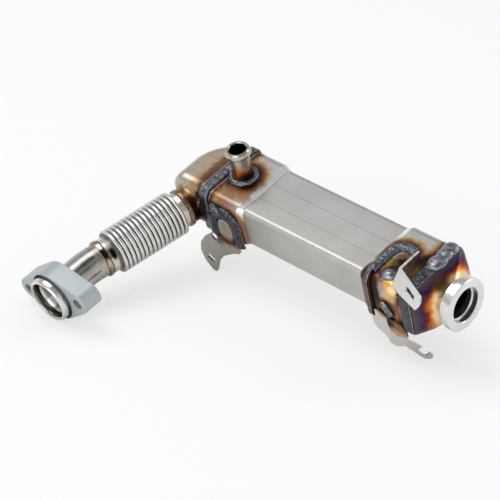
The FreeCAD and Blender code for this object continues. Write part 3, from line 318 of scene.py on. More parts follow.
spotNear = mathNode(spotGroup, "DIVIDE", mathNode(spotGroup, "MULTIPLY", spotFar, spotDrift),
                    spotIn.outputs["Reach"])
spotFade = mapRange(spotGroup, spotNear, *spotLook["fade"], 1.0, 0.0)
spotMask = mathNode(spotGroup, "MULTIPLY", spotFade, spotIn.outputs["Strength"])
spotColour = mixColour(spotGroup, spotMask, spotIn.outputs["Base"], spotIn.outputs["Tint"])
spotGroup.links.new(spotColour, spotOut.inputs["Color"])

# fine lines where a seam bead ends on the sheet: a pale ridge, then a dark line, for a few millimetres

ridgeLook = {"grain": 0.3, "drift": (1.0, -0.5), "reach": 4.0, "fade": (2.2, 3.2), "strength": 0.85}
ridgeGroup, ridgeIn, ridgeOut = newGroup("seamRidge", (
    ("Base", "NodeSocketColor", (0.5, 0.5, 0.5, 1)), ("Distance", "NodeSocketFloat", 9.0),
    ("Vector", "NodeSocketVector", None)), (("Color", "NodeSocketColor"),))
ridgeNoise = noise(ridgeGroup, ridgeIn.outputs["Vector"], ridgeLook["grain"])
ridgeDrift = mathNode(ridgeGroup, "MULTIPLY_ADD", ridgeNoise, *ridgeLook["drift"])
ridgeAway = mathNode(ridgeGroup, "ADD", ridgeIn.outputs["Distance"], ridgeDrift)
ridgeColour = ramp(ridgeGroup, mathNode(ridgeGroup, "MULTIPLY", ridgeAway, 1 / ridgeLook["reach"]), (
    (0.0, (0.05, 0.03, 0.035)), (0.10, (0.30, 0.21, 0.16)), (0.28, (0.50, 0.37, 0.29)),
    (0.40, (0.30, 0.20, 0.16)), (0.50, (0.07, 0.03, 0.03)), (0.62, (0.12, 0.05, 0.04))))
ridgeMask = mapRange(ridgeGroup, ridgeAway, *ridgeLook["fade"], ridgeLook["strength"], 0.0)
ridged = mixColour(ridgeGroup, ridgeMask, ridgeIn.outputs["Base"], ridgeColour)
ridgeGroup.links.new(ridged, ridgeOut.inputs["Color"])


# distances in millimetres from the welds, in the core frame

def distanceToPlane(tree, vector, axis, value):
    return mathNode(tree, "ABSOLUTE", mathNode(tree, "SUBTRACT", component(tree, vector, axis), value))


def distanceToPoint(tree, vector, point, less=0.0):
    gap = vectorMath(tree, "DISTANCE", vector, point).outputs["Value"]
    return mathNode(tree, "ABSOLUTE", mathNode(tree, "SUBTRACT", gap, less))


def distanceToLine(tree, vector, start, end, less=0.0):
    # the line runs from start to end, both in the core frame
    run = Vector(end) - Vector(start)
    fromStart = vectorMath(tree, "SUBTRACT", vector, start).outputs[0]
    along = vectorMath(tree, "DOT_PRODUCT", fromStart, run / run.length_squared).outputs["Value"]
    share = put(tree, "ShaderNodeClamp")
    tree.links.new(along, share.inputs[0])
    foot = vectorMath(tree, "SCALE", run)
    tree.links.new(share.outputs[0], foot.inputs["Scale"])
    gap = vectorMath(tree, "DISTANCE", fromStart, foot.outputs[0]).outputs["Value"]
    return mathNode(tree, "SUBTRACT", gap, less)


def weldPlane(axis, value, less=0.0):
    return lambda tree, vector: mathNode(tree, "SUBTRACT", distanceToPlane(tree, vector, axis, value), less)


def weldPoint(point, less=0.0):
    return lambda tree, vector: distanceToPoint(tree, vector, point, less)


def weldLine(start, end, less=0.0):
    return lambda tree, vector: distanceToLine(tree, vector, start, end, less)


def nearest(tree, distances):
    result = distances[0]
    for other in distances[1:]:
        result = mathNode(tree, "MINIMUM", result, other)
    return result


def tinted(tree, base, vector, spots):
    # local heat colours: each spot is a soft patch round a point of the core frame
    for spot in spots:
        mark = placeGroup(tree, spotGroup, Base=base, Vector=vector, Tint=spot["tint"], Reach=spot["reach"],
                          Strength=spot.get("strength", 1.0), Place=spot["place"],
                          Stretch=spot.get("stretch", (1.0, 1.0, 1.0)))
        base = mark.outputs["Color"]
    return base


grainTurns = {"Y": (0, 0, math.pi / 2), "Z": (0, math.pi / 2, 0)}  # for grain that doesn't run along X
steelWork = {"line": (0.35, 0.65), "patch": (0.3, 0.7), "patchShade": (0.93, 1.04), "roughLine": (0.3, 0.7),
             "roughSpread": (-0.04, 0.06), "burnRough": 0.06, "bumpDepth": 0.0001}


def steelMaterial(name, look, welds=(), grainAxis="X", spots=(), extra=None, ridge=None):
    material = newMaterial(name)
    tree = material.node_tree
    vector = coreCoordinates(tree)
    along = vector
    if grainAxis in grainTurns:
        turned = put(tree, "ShaderNodeMapping", vector_type="POINT")
        turned.inputs["Rotation"].default_value = grainTurns[grainAxis]
        tree.links.new(vector, turned.inputs[0])
        along = turned.outputs[0]
    grain = placeGroup(tree, grainGroup, Vector=along, Lines=look["lines"])
    light = look["colour"]
    dark = tuple(part * look["lineDark"] for part in light)
    base = mixColour(tree, mapRange(tree, grain.outputs["Line"], *steelWork["line"]), dark, light)
    cloud = mapRange(tree, grain.outputs["Patch"], *steelWork["patch"], *steelWork["patchShade"])
    base = timesGrey(tree, base, cloud)
    if extra:
        base = extra(tree, vector, base)
    roughEnds = [look["rough"] + spread for spread in steelWork["roughSpread"]]
    rough = mapRange(tree, grain.outputs["Line"], *steelWork["roughLine"], *roughEnds)
    if welds:
        distance = nearest(tree, [weld(tree, vector) for weld in welds])
        tint = placeGroup(tree, tintGroup, Steel=base, Distance=distance, Reach=look["reach"], Vector=vector)
        base = tint.outputs["Color"]
        rough = mathNode(tree, "MULTIPLY_ADD", tint.outputs["Burn"], steelWork["burnRough"], rough)
    if ridge:
        mark = placeGroup(tree, ridgeGroup, Base=base, Distance=ridge(tree, vector), Vector=vector)
        base = mark.outputs["Color"]
    base = tinted(tree, base, vector, spots)
    shadeSurface(tree, base, rough, look.get("metallic", 1.0), grain.outputs["Line"], look["bump"],
                 steelWork["bumpDepth"])
    return material


def dress(nodeName, material):
    mesh = nodes[nodeName].data
    mesh.materials.clear()
    mesh.materials.append(material)


# finishes: lines sets how fine the grain is, and reach how far from a weld the heat tint goes

casingLook = {"colour": (0.555, 0.545, 0.52), "rough": 0.40, "lines": 2.4, "lineDark": 0.93, "bump": 0.10,
              "seams": (8.5, -11.5), "darkLineWidth": (0.15, 0.65), "darkLineGrey": 0.72}
tankLook = {"colour": (0.64, 0.615, 0.57), "rough": 0.33, "lines": 1.2, "lineDark": 0.97, "bump": 0.03,
            "reach": 14.0}
drawnLook = {"colour": (0.56, 0.52, 0.46), "rough": 0.30, "lines": 0.9, "lineDark": 0.95, "bump": 0.03,
             "reach": 22.0}
tubeLook = {"colour": (0.60, 0.58, 0.55), "rough": 0.25, "lines": 1.6, "lineDark": 0.52, "bump": 0.08}
bellLook = {"colour": (0.78, 0.765, 0.74), "rough": 0.16, "lines": 0.8, "lineDark": 0.9, "bump": 0.04}
spigotLook = {"colour": (0.52, 0.47, 0.40), "rough": 0.18, "lines": 0.8, "lineDark": 0.97, "bump": 0.02,
              "reach": 26.0}
bracketLook = {"colour": (0.46, 0.44, 0.40), "rough": 0.36, "lines": 1.4, "lineDark": 0.95, "bump": 0.05,
               "reach": 10.0}
rightBracketLook = dict(bracketLook, colour=(0.68, 0.66, 0.62))
clipLook = {"colour": (0.84, 0.83, 0.81), "rough": 0.30, "lines": 1.4, "lineDark": 0.98, "bump": 0.02}
turnedLook = {"colour": (0.80, 0.80, 0.785), "rough": 0.27, "lines": 3.0, "lineDark": 0.97, "bump": 0.02}
zincLook = {"colour": (0.44, 0.49, 0.505), "rough": 0.44, "lines": 0.7, "lineDark": 0.94, "bump": 0.03,
            "metallic": 0.5}
hoseLook = {"colour": (0.74, 0.725, 0.70), "rough": 0.29, "lines": 0.5, "lineDark": 0.99, "bump": 0.0}
coreLook = {"colour": (0.32, 0.30, 0.28), "rough": 0.45, "lines": 1.0, "lineDark": 0.8, "bump": 0.1}


def casingDarkLines(tree, vector, base):
    # two faint dark lines are painted along the casing, at two places across it
    for place in casingLook["seams"]:
        away = distanceToPlane(tree, vector, 1, place)
        line = mapRange(tree, away, *casingLook["darkLineWidth"], casingLook["darkLineGrey"], 1.0)
        base = timesGrey(tree, base, line)
    return base


# a painted highlight along the drawn step between tank and casing
stepHighlight = {"full": 2.0, "end": 4.6, "colour": (1.0, 0.985, 0.955)}  # millimetres from the step's middle


def paintedStepHighlight(middle):
    # the drawn step from tank to casing gets a painted highlight: a pale band along its middle
    def extra(tree, vector, base):
        away = distanceToPlane(tree, vector, 0, middle)
        mask = mapRange(tree, away, stepHighlight["full"], stepHighlight["end"], 1.0, 0.0)
        return mixColour(tree, mask, base, stepHighlight["colour"])
    return extra


# the welds and faces that heat colours are placed by, in millimetres of the core frame
leftSeam = {"middle": -46.5, "half": 5.75}
rightSeam = {"middle": 191.5, "half": 6.5}
topFace = 24.2
frontFace = -36.2
edgeBead = {"x": 149.8, "top": (149.8, -28.0, topFace), "corner": (149.8, frontFace, 16.0),
            "foot": (149.8, frontFace, -20.0), "half": 4.5}

tankLeftSpots = (
    {"place": (-24.0, -27.0, topFace), "reach": 17.0, "tint": (0.34, 0.18, 0.08), "strength": 0.85},
    {"place": (-10.0, -21.0, topFace), "reach": 11.0, "tint": (0.42, 0.22, 0.10), "strength": 0.75},
    {"place": (-14.0, -33.0, topFace), "reach": 9.0, "stretch": (2.0, 0.7, 0.7), "tint": (0.36, 0.22, 0.22),
     "strength": 0.7},
    {"place": (-27.0, 0.0, topFace), "reach": 20.0, "tint": (0.13, 0.055, 0.045), "strength": 0.7},
    # a painted highlight: a bright gold glint at the step's front-top corner
    {"place": (-2.5, -35.0, 22.0), "reach": 4.0, "tint": (0.95, 0.80, 0.50), "strength": 0.8},
    {"place": (-3.0, frontFace, -6.0), "reach": 11.0, "stretch": (0.6, 1.0, 2.4), "tint": (0.30, 0.17, 0.11),
     "strength": 0.85})
tankRightSpots = (
    # gold heat tint on the rounded front-top edge, with a painted cream highlight at its middle
    {"place": (172.0, frontFace, 20.0), "reach": 13.0, "stretch": (1.0, 1.0, 1.4),
     "tint": (0.90, 0.52, 0.14), "strength": 0.85},
    {"place": (177.0, frontFace, 20.0), "reach": 7.0, "tint": (1.0, 0.83, 0.50), "strength": 0.9},
    {"place": (164.5, frontFace, 18.0), "reach": 7.0, "stretch": (0.8, 1.0, 1.4), "tint": (0.36, 0.27, 0.34),
     "strength": 0.75},
    # painted shadow: a black crescent in the gap beside the bracket's raised left limb
    {"place": (158.6, frontFace, 9.0), "reach": 13.0, "stretch": (0.42, 1.0, 1.6),
     "tint": (0.006, 0.004, 0.004)},
    {"place": (161.0, frontFace, 27.0), "reach": 6.0, "stretch": (1.4, 1.0, 0.7),
     "tint": (0.006, 0.004, 0.004)},
    {"place": (179.0, frontFace, 0.0), "reach": 9.0, "tint": (0.22, 0.08, 0.035), "strength": 0.8},
    # painted shade: the black notch between the lower weld and the bracket
    {"place": (173.0, frontFace, -18.0), "reach": 6.0, "tint": (0.015, 0.01, 0.008), "strength": 0.95},
    {"place": (184.5, frontFace, -2.0), "reach": 7.0, "stretch": (0.5, 1.0, 2.0), "tint": (0.42, 0.18, 0.06),
     "strength": 0.8},
    {"place": (163.0, -2.0, topFace), "reach": 11.0, "tint": (0.20, 0.07, 0.03), "strength": 0.9},
    {"place": (155.6, -12.4, topFace), "reach": 8.0, "tint": (0.42, 0.25, 0.05), "strength": 0.9},
    {"place": (161.5, -9.0, topFace), "reach": 7.5, "tint": (0.035, 0.085, 0.04), "strength": 0.85},
    # two black patches: painted shade and dark reflection in the hollow beside the standing bracket leg
    {"place": (168.5, -7.0, topFace), "reach": 9.0, "tint": (0.008, 0.007, 0.006), "strength": 0.95},
    {"place": (179.5, 5.0, topFace), "reach": 8.0, "stretch": (0.8, 1.5, 1.0), "tint": (0.012, 0.007, 0.007),
     "strength": 0.95},
    {"place": (181.0, -12.0, topFace), "reach": 9.0, "stretch": (0.8, 1.3, 1.0), "tint": (0.15, 0.085, 0.03),
     "strength": 0.85})
hoodSpots = (
    {"place": (-70.0, 6.0, topFace), "reach": 26.0, "stretch": (0.9, 1.6, 1.0), "tint": (0.60, 0.47, 0.31),
     "strength": 0.75},
    {"place": (-58.0, 0.0, topFace), "reach": 12.0, "stretch": (0.6, 3.2, 1.0), "tint": (0.15, 0.06, 0.045),
     "strength": 0.8},
    {"place": (-62.0, -44.0, 0.0), "reach": 28.0, "stretch": (1.0, 0.62, 1.0),
     "tint": (0.016, 0.006, 0.003)},
    {"place": (-62.0, -33.0, 21.0), "reach": 8.0, "tint": (0.48, 0.34, 0.18), "strength": 0.8})
coneSpots = (
    {"place": (210.5, -7.0, 20.0), "reach": 11.0, "stretch": (1.6, 1.0, 1.0), "tint": (0.085, 0.06, 0.02),
     "strength": 0.85},)

# along the cone, as shares of the run between two places: grey-purple at the seam, then red, orange, cream
coneHeat = {"from": 197.0, "to": 217.0, "wander": 6.0, "grain": 0.09, "colours": (
    (0.0, (0.12, 0.10, 0.115)), (0.26, (0.075, 0.055, 0.095)), (0.42, (0.06, 0.025, 0.06)),
    (0.52, (0.22, 0.03, 0.015)), (0.62, (0.62, 0.20, 0.04)), (0.72, (0.90, 0.62, 0.32)),
    (0.86, (0.80, 0.68, 0.48)), (1.0, (0.30, 0.17, 0.08)))}


def coneBands(tree, vector, base):
    # the bands cover the whole cone, so that nothing of the base is left
    drift = mathNode(tree, "MULTIPLY_ADD", noise(tree, vector, coneHeat["grain"]), coneHeat["wander"],
                     -coneHeat["wander"] / 2)
    along = mathNode(tree, "ADD", component(tree, vector, 0), drift)
    share = mapRange(tree, along, coneHeat["from"], coneHeat["to"], smooth=False)
    return ramp(tree, share, coneHeat["colours"])


casingSteel = steelMaterial("casingSteel", casingLook, extra=casingDarkLines)
tankLeftSteel = steelMaterial("tankLeftSteel", tankLook, (
    weldPlane(0, leftSeam["middle"], leftSeam["half"] + 1.0), weldPoint((-28, 0, topFace), 15.0),
    weldPoint((-24, frontFace, -5), 20.0)), spots=tankLeftSpots, extra=paintedStepHighlight(-2.5),
    ridge=weldPlane(0, leftSeam["middle"], leftSeam["half"]))
tankRightSteel = steelMaterial("tankRightSteel", tankLook, (
    weldPlane(0, rightSeam["middle"], rightSeam["half"]), weldPoint((160.3, -1.5, topFace), 14.5),
    weldPoint((166.5, -25, topFace), 6.0), weldPoint((168.4, frontFace, -5.5), 6.0),
    weldLine(edgeBead["top"], edgeBead["corner"], edgeBead["half"]),
    weldLine(edgeBead["corner"], edgeBead["foot"], edgeBead["half"])), spots=tankRightSpots,
    extra=paintedStepHighlight(142.5))
hoodSteel = steelMaterial("hoodSteel", drawnLook, (
    weldPlane(0, leftSeam["middle"], leftSeam["half"] + 1.0), weldPoint((-69.6, -44.9, 0), 8.0)),
    spots=hoodSpots, ridge=weldPlane(0, leftSeam["middle"], leftSeam["half"]))
coneSteel = steelMaterial("coneSteel", drawnLook, spots=coneSpots, extra=coneBands)
spigotSteel = steelMaterial("spigotSteel", spigotLook, (weldPlane(2, topFace, 2.0),), "Z", spots=(
    {"place": (-30.0, -9.0, 33.0), "reach": 9.0, "tint": (0.75, 0.30, 0.10), "strength": 0.7},))
pipeSteel = steelMaterial("pipeSteel", tubeLook, (), "Y", spots=(
    {"place": (-87.0, -140.5, 0.0), "reach": 20.0, "stretch": (1.3, 0.24, 1.3), "tint": (0.42, 0.29, 0.16),
     "strength": 0.75},
    # three painted dark reflections: streaks along the shiny pipe beside its highlight
    {"place": (-81.5, -154.0, 14.2), "reach": 13.0, "stretch": (0.22, 1.7, 0.2), "tint": (0.10, 0.085, 0.07),
     "strength": 0.85},
    {"place": (-77.5, -156.0, 10.5), "reach": 13.0, "stretch": (0.16, 1.7, 0.2), "tint": (0.13, 0.115, 0.10),
     "strength": 0.7},
    {"place": (-73.5, -153.0, 2.5), "reach": 12.0, "stretch": (0.14, 1.6, 0.16), "tint": (0.08, 0.07, 0.06),
     "strength": 0.75}))


mouth = mounts["bell_mouth"]
mouthAxis = Vector(mouth["axis"]).normalized()
# painted shade inside the bell's throat: its reach, radii and colour
throat = {"behind": 0.05, "before": 0.02, "shaded": 17.4, "unshaded": 19.8, "colour": (0.16, 0.145, 0.13)}


def paintedThroatShade(tree, vector, base):
    # behind its rolled lip the pipe gets painted shade; behind and before are metres from the mouth
    start = coreMatrix.inverted() @ (Vector(mouth["pos_m"]) - mouthAxis * throat["behind"]) * 1000
    end = coreMatrix.inverted() @ (Vector(mouth["pos_m"]) + mouthAxis * throat["before"]) * 1000
    away = distanceToLine(tree, vector, start, end)
    return mixColour(tree, mapRange(tree, away, throat["shaded"], throat["unshaded"]), throat["colour"], base)


bellSteel = steelMaterial("bellSteel", bellLook, (), "Y", extra=paintedThroatShade)
bracketSteel = steelMaterial("bracketSteel", bracketLook, (weldPoint((-24, frontFace, -5), 19.0),), spots=(
    {"place": (-24.0, -38.0, -9.0), "reach": 11.0, "stretch": (0.8, 1.0, 1.5), "tint": (0.42, 0.30, 0.21),
     "strength": 0.85},
    {"place": (-36.0, -38.0, -24.0), "reach": 10.0, "tint": (0.10, 0.045, 0.03), "strength": 0.8}))
rightBracketSteel = steelMaterial("rightBracketSteel", rightBracketLook, (
    weldPoint((168.4, frontFace, -5.5), 6.0),))
webSteel = steelMaterial("webSteel", bracketLook, spots=(
    {"place": (178.0, -38.0, -20.0), "reach": 34.0, "tint": (0.24, 0.11, 0.05), "strength": 0.95},
    # painted shade in the black notch, then painted gold glints below it
    {"place": (171.0, -38.0, -21.0), "reach": 9.0, "stretch": (0.8, 1.0, 1.4),
     "tint": (0.012, 0.008, 0.006)},
    {"place": (174.5, -38.0, -28.0), "reach": 7.0, "tint": (0.48, 0.32, 0.14), "strength": 0.85},
    {"place": (184.0, -38.0, -29.0), "reach": 8.0, "stretch": (1.6, 1.0, 0.7), "tint": (0.50, 0.38, 0.24),
     "strength": 0.8}))
clipSteel = steelMaterial("clipSteel", clipLook, spots=(
    {"place": (187.0, -8.0, 30.0), "reach": 12.0, "tint": (0.16, 0.09, 0.05), "strength": 0.8},))
turnedSteel = steelMaterial("turnedSteel", turnedLook, (), "Z")
zincPlate = steelMaterial("zincPlate", zincLook)
coreSteel = steelMaterial("coreSteel", coreLook)

finishes = {
    "core_casing": casingSteel, "coolant_tank_left": tankLeftSteel, "coolant_tank_right": tankRightSteel,
    "gas_hood_left": hoodSteel, "gas_cone_right": coneSteel, "clamp_flange": turnedSteel,
    "loose_flange": zincPlate, "outlet_pipe": pipeSteel, "coolant_spigot_top": spigotSteel,
    "coolant_spigot_bottom": spigotSteel, "left_bracket": bracketSteel, "right_bracket": rightBracketSteel,
    "clip_bracket": clipSteel}
for name in nodes:
    if name in finishes:
        dress(name, finishes[name])
    elif "weld" not in name and name != "bellows":
        dress(name, coreSteel)
print("sheet and tube materials made")


# weld beads: a lumpy blue-grey back, with a dark foot and a pale ridge along each side

beadLook = {"paler": 0.22, "wobble": (1.3, -0.65), "rimReach": 4.0, "rimEnds": (1.3, 2.0), "sparkle": 1.6,
            "sparkleEnds": (0.35, 0.65), "sparkleHeight": 0.5, "rough": (0.42, 0.22), "bump": 0.55}
beadGroup, beadIn, beadOut = newGroup("weldBead", (
    ("Vector", "NodeSocketVector", None), ("Rise", "NodeSocketFloat", 3.0), ("Pale", "NodeSocketFloat", 0.0),
    ("Grain", "NodeSocketFloat", 0.55)),
    (("Color", "NodeSocketColor"), ("Height", "NodeSocketFloat"), ("Rough", "NodeSocketFloat")))
mottle = noise(beadGroup, beadIn.outputs["Vector"], beadIn.outputs["Grain"], detail=6, roughness=0.7)
sparkle = noise(beadGroup, beadIn.outputs["Vector"], beadLook["sparkle"], detail=3)
paler = mathNode(beadGroup, "MULTIPLY", beadIn.outputs["Pale"], beadLook["paler"])
backColour = ramp(beadGroup, mathNode(beadGroup, "ADD", mottle, paler), (
    (0.28, (0.024, 0.026, 0.030)), (0.44, (0.070, 0.076, 0.088)), (0.58, (0.135, 0.146, 0.168)),
    (0.80, (0.42, 0.43, 0.45))))
wobble = mathNode(beadGroup, "MULTIPLY_ADD", mottle, *beadLook["wobble"])
edge = mathNode(beadGroup, "ADD", beadIn.outputs["Rise"], wobble)
rimColour = ramp(beadGroup, mathNode(beadGroup, "MULTIPLY", edge, 1 / beadLook["rimReach"]), (
    (0.02, (0.030, 0.014, 0.012)), (0.10, (0.09, 0.035, 0.03)), (0.18, (0.34, 0.25, 0.19)),
    (0.26, (0.36, 0.29, 0.27)), (0.34, (0.05, 0.035, 0.045)), (0.46, (0.10, 0.10, 0.13))))
beadColour = mixColour(beadGroup, mapRange(beadGroup, edge, *beadLook["rimEnds"]), rimColour, backColour)
beadGroup.links.new(beadColour, beadOut.inputs["Color"])
sparkleRise = mathNode(beadGroup, "MULTIPLY", sparkle, beadLook["sparkleHeight"])
beadGroup.links.new(mathNode(beadGroup, "ADD", mottle, sparkleRise), beadOut.inputs["Height"])
beadRough = mapRange(beadGroup, sparkle, *beadLook["sparkleEnds"], *beadLook["rough"])
beadGroup.links.new(beadRough, beadOut.inputs["Rough"])


def beadMaterial(name, rise, pale=0.0, grain=0.55, depth=0.0004):
    # rise: how far inside the bead's own edge a point lies, in millimetres
    material = newMaterial(name)
    tree = material.node_tree
    vector = coreCoordinates(tree)
    bead = placeGroup(tree, beadGroup, Vector=vector, Rise=rise(tree, vector), Pale=pale, Grain=grain)
    shadeSurface(tree, bead.outputs["Color"], bead.outputs["Rough"], 1.0, bead.outputs["Height"],
                 beadLook["bump"], depth)
    return material


def riseFromFace(axis, face, outward):
    def rise(tree, vector):
        above = mathNode(tree, "SUBTRACT", component(tree, vector, axis), face)
        return mathNode(tree, "MULTIPLY", above, outward)
    return rise


def riseInBand(middle, half):
    return lambda tree, vector: mathNode(tree, "SUBTRACT", half, distanceToPlane(tree, vector, 0, middle))


def plainRise(tree, vector):
    # far inside its edge everywhere, for beads without a dark foot
    return beadLook["rimReach"]


frontBead = beadMaterial("frontBead", riseFromFace(1, frontFace, -1.3), -0.4)
topBead = beadMaterial("topBead", riseFromFace(2, topFace, 1.3), 0.3, 0.4)
leftRingBead = beadMaterial("leftRingBead", riseInBand(leftSeam["middle"], leftSeam["half"] + 0.8), 0.25)
rightRingBead = beadMaterial("rightRingBead", riseInBand(rightSeam["middle"], rightSeam["half"]), -0.25)
edgeBeadSteel = beadMaterial("edgeBeadSteel", riseInBand(edgeBead["x"], edgeBead["half"] - 2.2), 0.0, 0.35)
cornerBead = beadMaterial("cornerBead", plainRise, 0.25, 0.4, 0.0003)
lowFrontBead = beadMaterial("lowFrontBead", plainRise, 0.55, 0.4)
lowBead = beadMaterial("lowBead", plainRise, 0.4)
brightBead = beadMaterial("brightBead", plainRise, 0.85, 0.3, 0.00015)

# the two thin rings on the branch are bare weld metal, bronze to black
ringLook = {"colour": (0.46, 0.33, 0.22), "rough": 0.2, "lines": 0.9, "lineDark": 0.35, "bump": 0.05}
ringSteel = steelMaterial("ringSteel", ringLook, spots=(
    # a painted white-pink highlight on the pipe's weld ring
    {"place": (-84.0, -136.0, 16.5), "reach": 6.0, "tint": (1.0, 0.86, 0.78), "strength": 0.9},
    {"place": (-78.5, -137.0, 14.5), "reach": 5.0, "tint": (0.012, 0.008, 0.01)},
    {"place": (-75.0, -137.0, 11.0), "reach": 6.5, "tint": (0.012, 0.008, 0.01)},
    {"place": (-70.5, -138.0, 5.0), "reach": 6.0, "tint": (0.62, 0.44, 0.34), "strength": 0.8},
    {"place": (-62.0, -46.0, 10.0), "reach": 14.0, "tint": (0.16, 0.07, 0.03), "strength": 0.7}))

# making pieces

# points closer than this are one: metres in a CAD copy and at its cut, millimetres in a turned shape
joinWithin = {"copied": 0.00001, "cut": 0.000001, "turned": 0.001}


def mergedCopy(nodeName):
    shape = bmesh.new()
    shape.from_mesh(nodes[nodeName].data)
    bmesh.ops.remove_doubles(shape, verts=shape.verts, dist=joinWithin["copied"])
    return shape


def turnedShape(profile, turns, place):
    # a closed profile of places along X and radii, turned about X
    shape = bmesh.new()
    ring = [shape.verts.new((along, radius, 0)) for along, radius in profile]
    wire = [shape.edges.new((ring[index - 1], ring[index])) for index in range(len(ring))]
    bmesh.ops.spin(shape, geom=ring + wire, cent=(0, 0, 0), axis=(1, 0, 0), angle=2 * math.pi, steps=turns,
                   use_merge=True)
    bmesh.ops.remove_doubles(shape, verts=shape.verts, dist=joinWithin["turned"])
    bmesh.ops.transform(shape, matrix=place, verts=shape.verts)
    return shape


def keepPiece(name, shape, material, body="cooler", sharp=60):
    # the shape comes in metres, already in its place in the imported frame
    bmesh.ops.recalc_face_normals(shape, faces=shape.faces)
    for face in shape.faces:
        face.smooth = True
    for rim in shape.edges:
        rim.smooth = rim.calc_face_angle(0.0) < math.radians(sharp)
    mesh = bpy.data.meshes.new(name)
    shape.to_mesh(mesh)
    shape.free()
    mesh.materials.append(material)
    piece = bpy.data.objects.new(name, mesh)
    scene.collection.objects.link(piece)
    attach(piece, body)
    return piece


lumps = bpy.data.textures.new("lumps", "CLOUDS")
lumps.noise_scale = 0.0045
lumps.noise_depth = 2
softenings = {"bead": 4, "melted": 5}


def makeLumpy(piece, grid, passes, strength, level):
    # an even skin of small faces, softened, then swollen here and there; grid and strength in millimetres
    even = piece.modifiers.new("even", "REMESH")
    even.mode = "VOXEL"
    even.voxel_size = grid / 1000
    even.use_smooth_shade = True
    soften = piece.modifiers.new("soften", "SMOOTH")
    soften.factor = 0.5
    soften.iterations = passes
    swell = piece.modifiers.new("swell", "DISPLACE")
    swell.texture = lumps
    swell.texture_coords = "LOCAL"
    swell.strength = strength / 1000
    swell.mid_level = level


edgeRounding = {"segments": 3, "fromAngle": 50}


def softenEdges(piece, width):
    edges = piece.modifiers.new("edges", "BEVEL")
    edges.width = width / 1000
    edges.segments = edgeRounding["segments"]
    edges.limit_method = "ANGLE"
    edges.angle_limit = math.radians(edgeRounding["fromAngle"])


beads = {
    "weld_seam_left": {"material": leftRingBead, "grid": 0.8, "swell": 1.2, "level": 0.75},
    "weld_seam_right": {"material": rightRingBead, "grid": 0.8, "swell": 1.3, "level": 0.75},
    "spigot_weld_top": {"material": topBead, "grid": 0.6, "swell": 0.9, "level": 0.1},
    "spigot_weld_bottom": {"material": lowBead, "grid": 0.8, "swell": 0.8},
    "left_bracket_weld": {"material": frontBead, "grid": 0.6, "swell": 1.8, "level": 0.2},
    "clip_arch_weld": {"material": topBead, "grid": 0.5, "swell": 1.6, "level": 0.1},
    "clip_foot_weld": {"material": topBead, "grid": 0.5, "swell": 1.2},
    "right_front_weld": {"material": lowFrontBead, "grid": 0.5, "swell": 1.4},
    "edge_weld": {"material": edgeBeadSteel, "grid": 0.6, "swell": 0.7},
    "neck_weld": {"material": ringSteel, "grid": 0.5, "swell": 0.6},
    "pipe_weld": {"material": ringSteel, "grid": 0.5, "swell": 0.6}}
for name, look in beads.items():
    piece = keepPiece(name + "_lumps", mergedCopy(name), look["material"])
    makeLumpy(piece, look["grid"], softenings["bead"], look["swell"], look.get("level", 0.5))
    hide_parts(name)
print("beads made:", len(beads))

# swellings melted into one bead: each has its middle, its half sizes and its turn about the core's Z
melted = {
    "top_weld_dome": {"material": brightBead, "grid": 0.5, "swell": 0.4, "replaces": "right_top_weld",
                      "blobs": (((166.5, -25.0, topFace), (7.6, 6.2, 4.8), 20),)},
    "seam_lump_right": {"material": brightBead, "grid": 0.6, "swell": 0.3, "blobs": (
        ((190.4, 27.0, 23.6), (8.2, 9.0, 4.8), 10), ((191.2, 19.5, 24.2), (7.6, 8.5, 4.7), 0),
        ((192.2, 8.5, 24.2), (8.4, 11.0, 5.4), -8))},
    "bracket_lump_left": {"material": cornerBead, "grid": 0.5, "swell": 0.8, "blobs": (
        ((-34.5, -37.0, 11.5), (6.0, 4.0, 5.5), 0), ((-30.0, -37.6, 9.5), (6.0, 3.4, 4.5), 0))}}
for name, look in melted.items():
    shape = bmesh.new()
    for place, size, turn in look["blobs"]:
        turned = Matrix.Rotation(math.radians(turn), 4, "Z") @ Matrix.Diagonal((*size, 1.0))
        bmesh.ops.create_uvsphere(shape, u_segments=40, v_segments=24, radius=1.0,
                                  matrix=Matrix.Translation(place) @ turned)
    bmesh.ops.transform(shape, matrix=millimetres, verts=shape.verts)
    piece = keepPiece(name, shape, look["material"])
    makeLumpy(piece, look["grid"], softenings["melted"], look["swell"], 0.5)
    if "replaces" in look:
        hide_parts(look["replaces"])
print("melted lumps made:", len(melted))

# a burnt web closes the space between the tank's lower edge and the right bracket
web = {"near": -38.3, "far": -36.4, "outline": (
    (168.0, -13.5), (172.5, -14.5), (184.5, -16.5), (189.0, -21.0), (189.5, -28.0), (178.0, -32.2),
    (170.5, -29.3), (167.8, -22.0))}
shape = bmesh.new()
sheet = shape.faces.new([shape.verts.new((x, web["near"], z)) for x, z in web["outline"]])
pulled = bmesh.ops.extrude_face_region(shape, geom=[sheet], use_keep_orig=True)
moved = [corner for corner in pulled["geom"] if isinstance(corner, bmesh.types.BMVert)]
bmesh.ops.translate(shape, verts=moved, vec=(0, web["far"] - web["near"], 0))
bmesh.ops.transform(shape, matrix=millimetres, verts=shape.verts)
keepPiece("bracket_web_right", shape, webSteel, sharp=35)
print("bracket web made")


# outlet end: the pipe keeps its plain run, its bell gets a rolled lip, and the flange a wide recess

